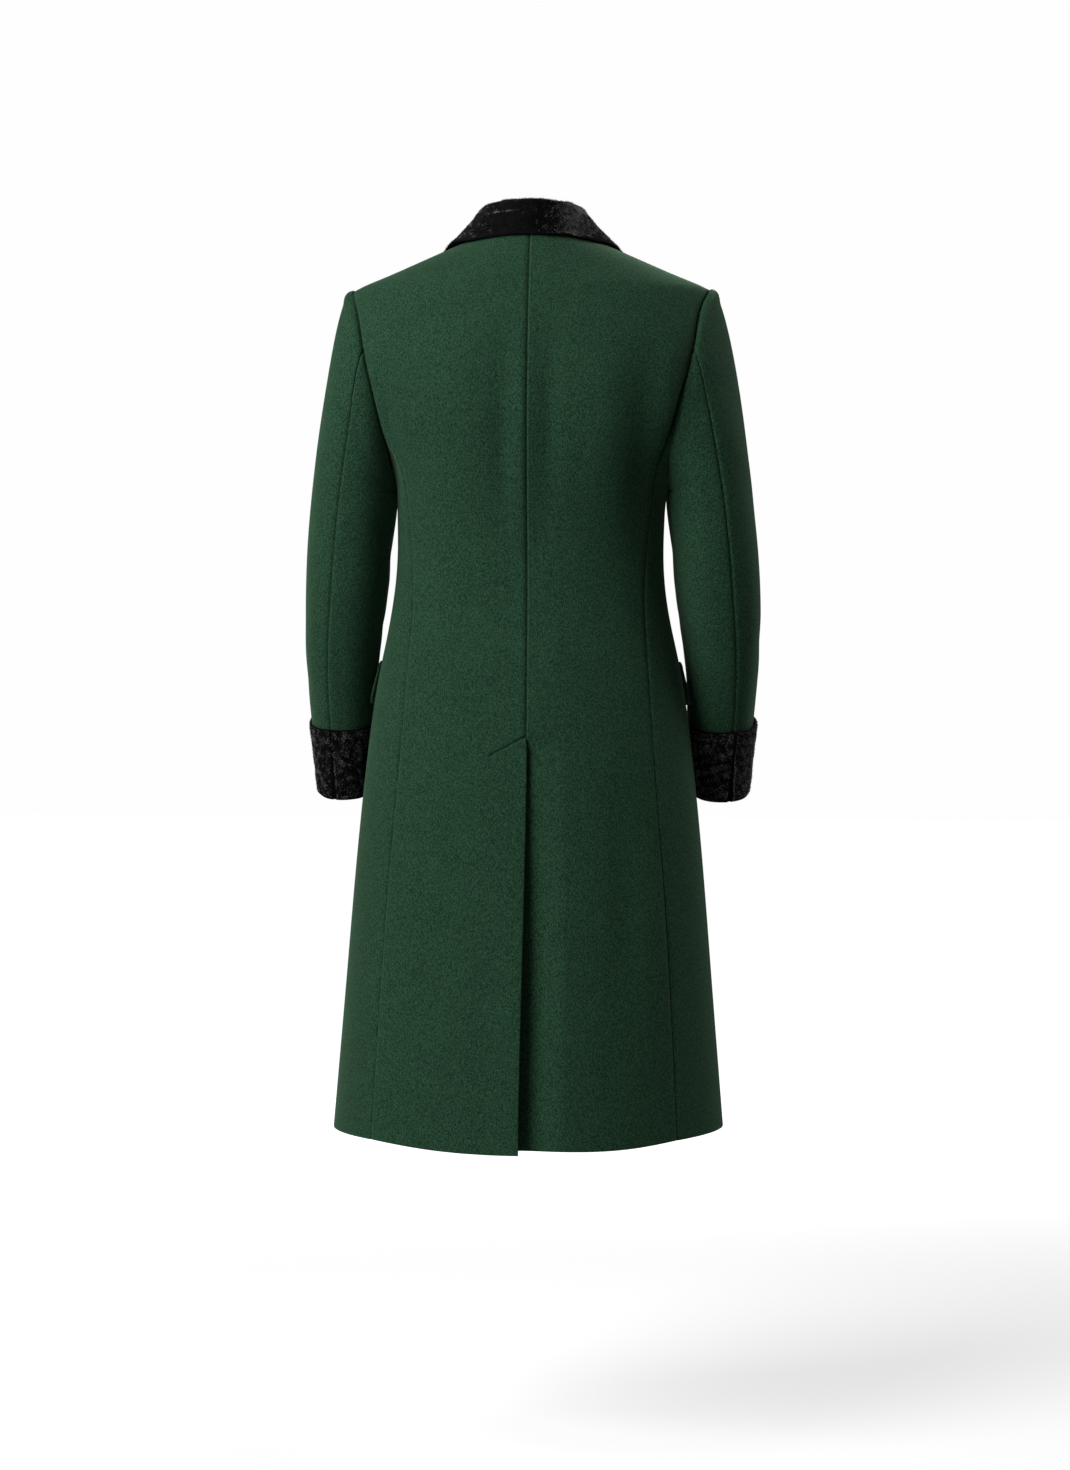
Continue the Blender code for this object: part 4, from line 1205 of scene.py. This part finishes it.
def flap(hand, side):
    """A pocket flap with rounded lower corners, hanging from its seam just off the side of the coat."""
    down = shares(FLAP_ROWS)[::-1][:, None] * FLAP_HEIGHT
    front = turn_at_x(FLAP_FRONT_X, FLAP_TOP_Z - down)
    turn = FLAP_REAR_TURN - (FLAP_REAR_TURN + front) * shares(FLAP_COLUMNS)
    wide = from_edge(body(turn, FLAP_TOP_Z - down), "first")
    ends = np.minimum(wide, wide[:, -1:] - wide)
    corner = np.clip(1 - ends / FLAP_CORNER, 0, 1)
    shorter = FLAP_CORNER * (1 - np.sqrt(1 - corner ** 2))
    z = FLAP_TOP_Z - down * (1 - shorter / FLAP_HEIGHT)
    base = body(turn, z)
    off = LAY_GAP + FLAP_STAND_OFF * smooth(FLAP_TOP_Z, FLAP_TOP_Z - FLAP_HEIGHT, z)
    edges = dict(FREE_EDGES, top=1)
    wool_piece("flap", hand, side, base, outward(body, turn, z), off + FLAP, FLAP, edges)


def button(number, z):
    """A turned button with a dished face and four holes, sewn on with crossed thread."""
    turn = -turn_at_x(0.0, z)
    away = Vector(outward(body, turn, np.float64(z)))
    middle = Vector(body(turn, z)) + away * LAY_GAP
    turned = away.to_track_quat("Z", "Y")
    mesh = bmesh.new()
    angles = [2 * math.pi * step / BUTTON_STEPS for step in range(BUTTON_STEPS)]
    rings = []
    for x, y in BUTTON_PROFILE:
        r, level = x * BUTTON_RADIUS, y * BUTTON_THICK
        ring = [mesh.verts.new((r * math.cos(a), r * math.sin(a), level)) for a in (angles if x else [0])]
        rings.append(ring if x else ring * BUTTON_STEPS)
    for low, high in zip(rings, rings[1:]):
        for step in range(BUTTON_STEPS):
            corners = (low[step - 1], low[step], high[step], high[step - 1])
            mesh.faces.new(list(dict.fromkeys(corners)))
    data = mesh_data(f"button_{number}_turned", mesh)
    data.materials.append(HORN_LOOK)
    data.shade_smooth()
    piece = put(data.name, data)
    holes = [(a * BUTTON_HOLE_AT, b * BUTTON_HOLE_AT) for a, b in ((1, 1), (-1, 1), (-1, -1), (1, -1))]
    drill(piece, holes)
    piece.rotation_mode = "QUATERNION"
    piece.rotation_quaternion = turned
    piece.location = middle
    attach(piece, "root")
    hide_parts(f"button_{number}")
    strands = []
    foot = BUTTON_FOOT * BUTTON_THICK
    for first, second in ((0, 2), (1, 3)):
        high = BUTTON_FACE * BUTTON_THICK + THREAD_RADIUS * STRAND_HEIGHTS[first]
        (ax, ay), (bx, by) = holes[first], holes[second]
        for aside in (-1, 1):
            off_x = STRAND_ASIDE * THREAD_RADIUS * aside
            off_y = -off_x if first == 0 else off_x
            path = ((ax, ay, foot), (ax, ay, high), (bx, by, high), (bx, by, foot))
            path = [middle + turned @ Vector((x + off_x, y + off_y, z)) for x, y, z in path]
            strands += zip(path, path[1:])
    thread(f"button_{number}_thread", strands, THREAD_RADIUS)


def drill(piece, holes):
    """Cuts round holes through a piece along its own upright axis."""
    mesh = bmesh.new()
    for x, y in holes:
        bmesh.ops.create_cone(mesh, cap_ends=True, segments=16, radius1=BUTTON_HOLE, radius2=BUTTON_HOLE,
                              depth=4 * BUTTON_THICK, matrix=Matrix.Translation((x, y, 0)))
    tool = put("drill", mesh_data("drill", mesh))
    cut = piece.modifiers.new("holes", "BOOLEAN")
    cut.object = tool
    cut.operation = "DIFFERENCE"
    cut.solver = "EXACT"
    graph = bpy.context.evaluated_depsgraph_get()
    cleared = bpy.data.meshes.new_from_object(piece.evaluated_get(graph))
    piece.modifiers.clear()
    piece.data = cleared
    bpy.data.objects.remove(tool)


def buttonhole(number, level):
    """The worked edges of a buttonhole in the left front: close stitches along both sides of its slit."""
    stitches = []
    for x in np.arange(*BUTTONHOLE_ENDS, BUTTONHOLE_STEP):
        for way in (1, -1):
            ends = []
            for z in (level + way * BUTTONHOLE_SLIT, level + way * BUTTONHOLE_HALF):
                turn = -turn_at_x(x, z)
                off = creases(body(turn, z), 1) + BUTTONHOLE_HEIGHT * THREAD_RADIUS
                ends.append(off_form(turn, z, off))
            stitches.append(ends)
    thread(f"buttonhole_{number}", stitches, BUTTONHOLE_THREAD * THREAD_RADIUS)


def vent_stitches():
    """The stitches that close the top of the vent."""
    stitches = []
    for k in range(STITCH_COUNT):
        ends = []
        for end in STITCH_ENDS:
            share = (k + end) / STITCH_COUNT
            z = VENT_TOP_Z - VENT_SLANT * share
            turn = turn_at_x(STITCH_REACH * share + STITCH_ASIDE, z)
            ends.append(off_form(turn, z, STITCH_HEIGHT * THREAD_RADIUS - GROOVE_DEPTH))
        stitches.append(ends)
    thread("vent_stitches", stitches, THREAD_RADIUS)


def thread(name, lines, radius):
    """Short round bars of thread with domed ends, joined into one mesh."""
    points = []
    faces = []
    for start, end in lines:
        start, end = np.array(start), np.array(end)
        way = unit(end - start)
        side = unit(np.cross(way, BAR_ASIDE))
        other = np.cross(way, side)
        first = len(points)
        for share, wide in BAR_PROFILE:
            middle = start + (end - start) * share
            for k in range(BAR_SIDES):
                a = 2 * math.pi * k / BAR_SIDES
                points.append(middle + radius * wide * (side * math.cos(a) + other * math.sin(a)))
        last = len(points) - BAR_SIDES
        for ring in range(first, last, BAR_SIDES):
            for k in range(BAR_SIDES):
                a, b = ring + k, ring + (k + 1) % BAR_SIDES
                faces.append((a, b, b + BAR_SIDES, a + BAR_SIDES))
        faces.append(tuple(first + k for k in range(BAR_SIDES - 1, -1, -1)))
        faces.append(tuple(last + k for k in range(BAR_SIDES)))
    piece = mesh_piece(name, np.array(points).tolist(), faces, THREAD_LOOK)


# Materials


def add(tree, kind, inputs=(), **settings):
    """A new node, with its settings made and its inputs joined to sockets or set to values."""
    made = tree.nodes.new(kind)
    for key, value in settings.items():
        setattr(made, key, value)
    for key, value in dict(inputs).items():
        if isinstance(value, bpy.types.NodeSocket):
            tree.links.new(value, made.inputs[key])
        else:
            made.inputs[key].default_value = value
    return made


def input_name(key):
    """The name of a shader's input, from a keyword."""
    return key.replace("_", " ").title().replace("Ior", "IOR")


def material(name, **values):
    """A material whose shader has the given even values."""
    made = bpy.data.materials.new(name)
    made.use_nodes = True
    shader = made.node_tree.nodes["Principled BSDF"]
    for key, value in values.items():
        shader.inputs[input_name(key)].default_value = value
    return made, made.node_tree, shader


def join(tree, shader, **sockets):
    """Joins sockets to the shader's inputs."""
    for key, socket in sockets.items():
        tree.links.new(socket, shader.inputs[input_name(key)])


def object_place(tree):
    return add(tree, "ShaderNodeTexCoord").outputs["Object"]


def noise(tree, coords, scale, detail=2.0, rough=0.5):
    inputs = {"Vector": coords, "Scale": scale, "Detail": detail, "Roughness": rough}
    return add(tree, "ShaderNodeTexNoise", inputs).outputs["Fac"]


def bump(tree, height, strength, distance):
    inputs = {"Height": height, "Strength": strength, "Distance": distance}
    return add(tree, "ShaderNodeBump", inputs).outputs["Normal"]


def between(tree, value, ends):
    """A value from 0 to 1, spread between the two ends."""
    low, high = ends
    return add(tree, "ShaderNodeMapRange", {"Value": value, "To Min": low, "To Max": high}).outputs[0]


def ramp(tree, value, stops):
    """Colours over a value, from (position, colour) stops."""
    made = add(tree, "ShaderNodeValToRGB", {"Fac": value})
    points = made.color_ramp.elements
    while len(points) < len(stops):
        points.new(0.5)
    for point, (position, colour) in zip(points, stops):
        point.position = position
        point.color = (*colour, 1)
    return made.outputs["Color"]


def weigh(tree, parts):
    """A sum of values, each with its weight."""
    total = None
    for value, weight in parts:
        inputs = {0: value, 1: weight, 2: 0.0 if total is None else total}
        total = add(tree, "ShaderNodeMath", inputs, operation="MULTIPLY_ADD").outputs[0]
    return total


def wool_look():
    """Felted wool: a fine uneven nap that runs on the slant, soft light along its edges."""
    made, tree, shader = material("felted_wool", roughness=0.93, specular_ior_level=0.18, sheen_weight=0.40,
                                  sheen_roughness=0.42, sheen_tint=(0.38, 0.62, 0.40, 1))
    place = object_place(tree)
    slant = (0, math.radians(40), math.radians(15))
    inputs = {"Vector": place, "Rotation": slant, "Scale": (1.0, 1.0, 0.38)}
    slanted = add(tree, "ShaderNodeMapping", inputs).outputs[0]
    nap = noise(tree, slanted, scale=1050, detail=0.0)
    fleck = noise(tree, place, scale=660, detail=0.0)
    cloud = noise(tree, place, scale=22)
    tone = weigh(tree, ((nap, 0.50), (fleck, 0.44), (cloud, 0.06)))
    dark = (0.0070, 0.0298, 0.0138)
    plain = (0.0170, 0.0596, 0.0298)
    light = (0.0322, 0.0984, 0.0512)
    colour = ramp(tree, tone, ((0.378, dark), (0.50, plain), (0.622, light)))
    height = weigh(tree, ((nap, 0.6), (fleck, 0.4)))
    join(tree, shader, base_color=colour, normal=bump(tree, height, strength=0.35, distance=0.0009))
    return made


def pile_look():
    """The ground of the pile: black, mottled with worn grey."""
    made, tree, shader = material("pile_ground", roughness=0.85, specular_ior_level=0.10, sheen_weight=0.02,
                                  sheen_roughness=0.35, sheen_tint=(0.8, 0.8, 0.8, 1))
    place = object_place(tree)
    fleck = noise(tree, place, scale=170, detail=4.0, rough=0.7)
    patch = noise(tree, place, scale=26)
    tone = weigh(tree, ((fleck, 0.6), (patch, 0.4)))
    dark = (0.0012, 0.0012, 0.0012)
    light = (0.0050, 0.0050, 0.0049)
    colour = ramp(tree, tone, ((0.42, dark), (0.66, light)))
    join(tree, shader, base_color=colour, normal=bump(tree, fleck, strength=0.5, distance=0.0015))
    return made


def hair_look():
    """Hairs of the pile: black to grey by tuft, with a little gloss; their shade also carries painted sheen
    and painted highlights.
    """
    made, tree, shader = material("pile_hair", roughness=0.45, specular_ior_level=0.22)
    shade = add(tree, "ShaderNodeAttribute", attribute_name="shade").outputs["Fac"]
    dark = (0.0008, 0.0008, 0.0008)
    plain = (0.0120, 0.0120, 0.0117)
    light = (0.3000, 0.3000, 0.2930)
    join(tree, shader, base_color=ramp(tree, shade, ((0.05, dark), (0.35, plain), (1.0, light))))
    return made


def horn_look():
    """Polished dark horn with cloudy streaks."""
    made, tree, shader = material("dark_horn", roughness=0.28, specular_ior_level=0.5)
    inputs = {"Vector": object_place(tree), "Scale": (1.0, 0.25, 1.0)}
    stretched = add(tree, "ShaderNodeMapping", inputs).outputs[0]
    streak = noise(tree, stretched, scale=160, detail=3.0)
    dark = (0.006, 0.008, 0.006)
    light = (0.030, 0.034, 0.026)
    join(tree, shader, base_color=ramp(tree, streak, ((0.35, dark), (0.75, light))))
    return made


def thread_look():
    """Dark green sewing thread with a twist."""
    made, tree, shader = material("thread", roughness=0.6, specular_ior_level=0.3)
    twist = noise(tree, object_place(tree), scale=1500)
    dark = (0.008, 0.026, 0.014)
    light = (0.022, 0.060, 0.036)
    join(tree, shader, base_color=ramp(tree, twist, ((0.35, dark), (0.65, light))))
    return made


# Floor, backdrop, lights and camera


def floor():
    """A pale floor that shows white at a distance and catches a soft shadow."""
    mesh = bmesh.new()
    bmesh.ops.create_grid(mesh, x_segments=1, y_segments=1, size=FLOOR_SIZE)
    data = mesh_data("floor", mesh)
    plane = put("floor", data)
    plane.location.z = FLOOR_Z
    made, tree, shader = material("pale_floor", roughness=0.9, specular_ior_level=0.1,
                                  emission_color=(1, 1, 1, 1))
    far = add(tree, "ShaderNodeVectorMath", {0: object_place(tree)}, operation="LENGTH").outputs["Value"]
    inputs = {"Value": far, "From Min": FLOOR_GLOW_FROM, "From Max": FLOOR_GLOW_TO,
              "To Min": FLOOR_GLOW[0], "To Max": FLOOR_GLOW[1]}
    bright = add(tree, "ShaderNodeMapRange", inputs, interpolation_type="SMOOTHSTEP").outputs[0]
    seen = add(tree, "ShaderNodeLightPath").outputs["Is Camera Ray"]
    glow = add(tree, "ShaderNodeMath", {0: bright, 1: seen}, operation="MULTIPLY").outputs[0]
    join(tree, shader, emission_strength=glow, base_color=between(tree, seen, FLOOR_PALE))
    data.materials.append(made)


def light(name, place, aim, size, power):
    data = bpy.data.lights.new(name, "AREA")
    data.shape = "DISK"
    data.size = size
    data.energy = power
    lamp = put(name, data)
    lamp.location = place
    lamp.rotation_mode = "QUATERNION"
    lamp.rotation_quaternion = (Vector(aim) - Vector(place)).to_track_quat("-Z", "Y")


def surroundings():
    """A white studio: the backdrop shows plain white, and lights the coat more softly than that."""
    world = bpy.data.worlds.new("studio")
    world.use_nodes = True
    tree = world.node_tree
    backdrop = tree.nodes["Background"]
    seen = add(tree, "ShaderNodeLightPath").outputs["Is Camera Ray"]
    join(tree, backdrop, strength=between(tree, seen, BACKDROP_LIGHT))
    backdrop.inputs["Color"].default_value = BACKDROP_WHITE
    bpy.context.scene.world = world
    bpy.context.scene.view_settings.view_transform = "Standard"
    for row in LIGHTS:
        light(*row)


def camera():
    data = bpy.data.cameras.new("camera")
    data.lens = LENS
    data.shift_x = SHIFT_PIXELS / PHOTO_HEIGHT
    back = Vector((math.sin(AZIMUTH), -math.cos(AZIMUTH), 0))
    eye = put("camera", data)
    eye.location = TARGET + back * DISTANCE
    eye.rotation_mode = "QUATERNION"
    eye.rotation_quaternion = (-back).to_track_quat("-Z", "Y") @ Quaternion((0, 0, 1), ROLL)
    bpy.context.scene.camera = eye


WOOL_LOOK = wool_look()
PILE_LOOK = pile_look()
HAIR_LOOK = hair_look()
HORN_LOOK = horn_look()
THREAD_LOOK = thread_look()

for hand, side in (("left", 1), ("right", -1)):
    back_panel(hand, side)
    side_panel(hand, side)
    front_panel(hand, side)
    sleeve_piece("sleeve_top", hand, side, TOP_ANGLES)
    sleeve_piece("sleeve_under", hand, side, UNDER_ANGLES)
    flap(hand, side)
    cuff(hand, side)
collar()
for number, level in enumerate(BUTTON_LEVELS, 1):
    button(number, level)
    buttonhole(number, level)
vent_stitches()

camera()
floor()
surroundings()
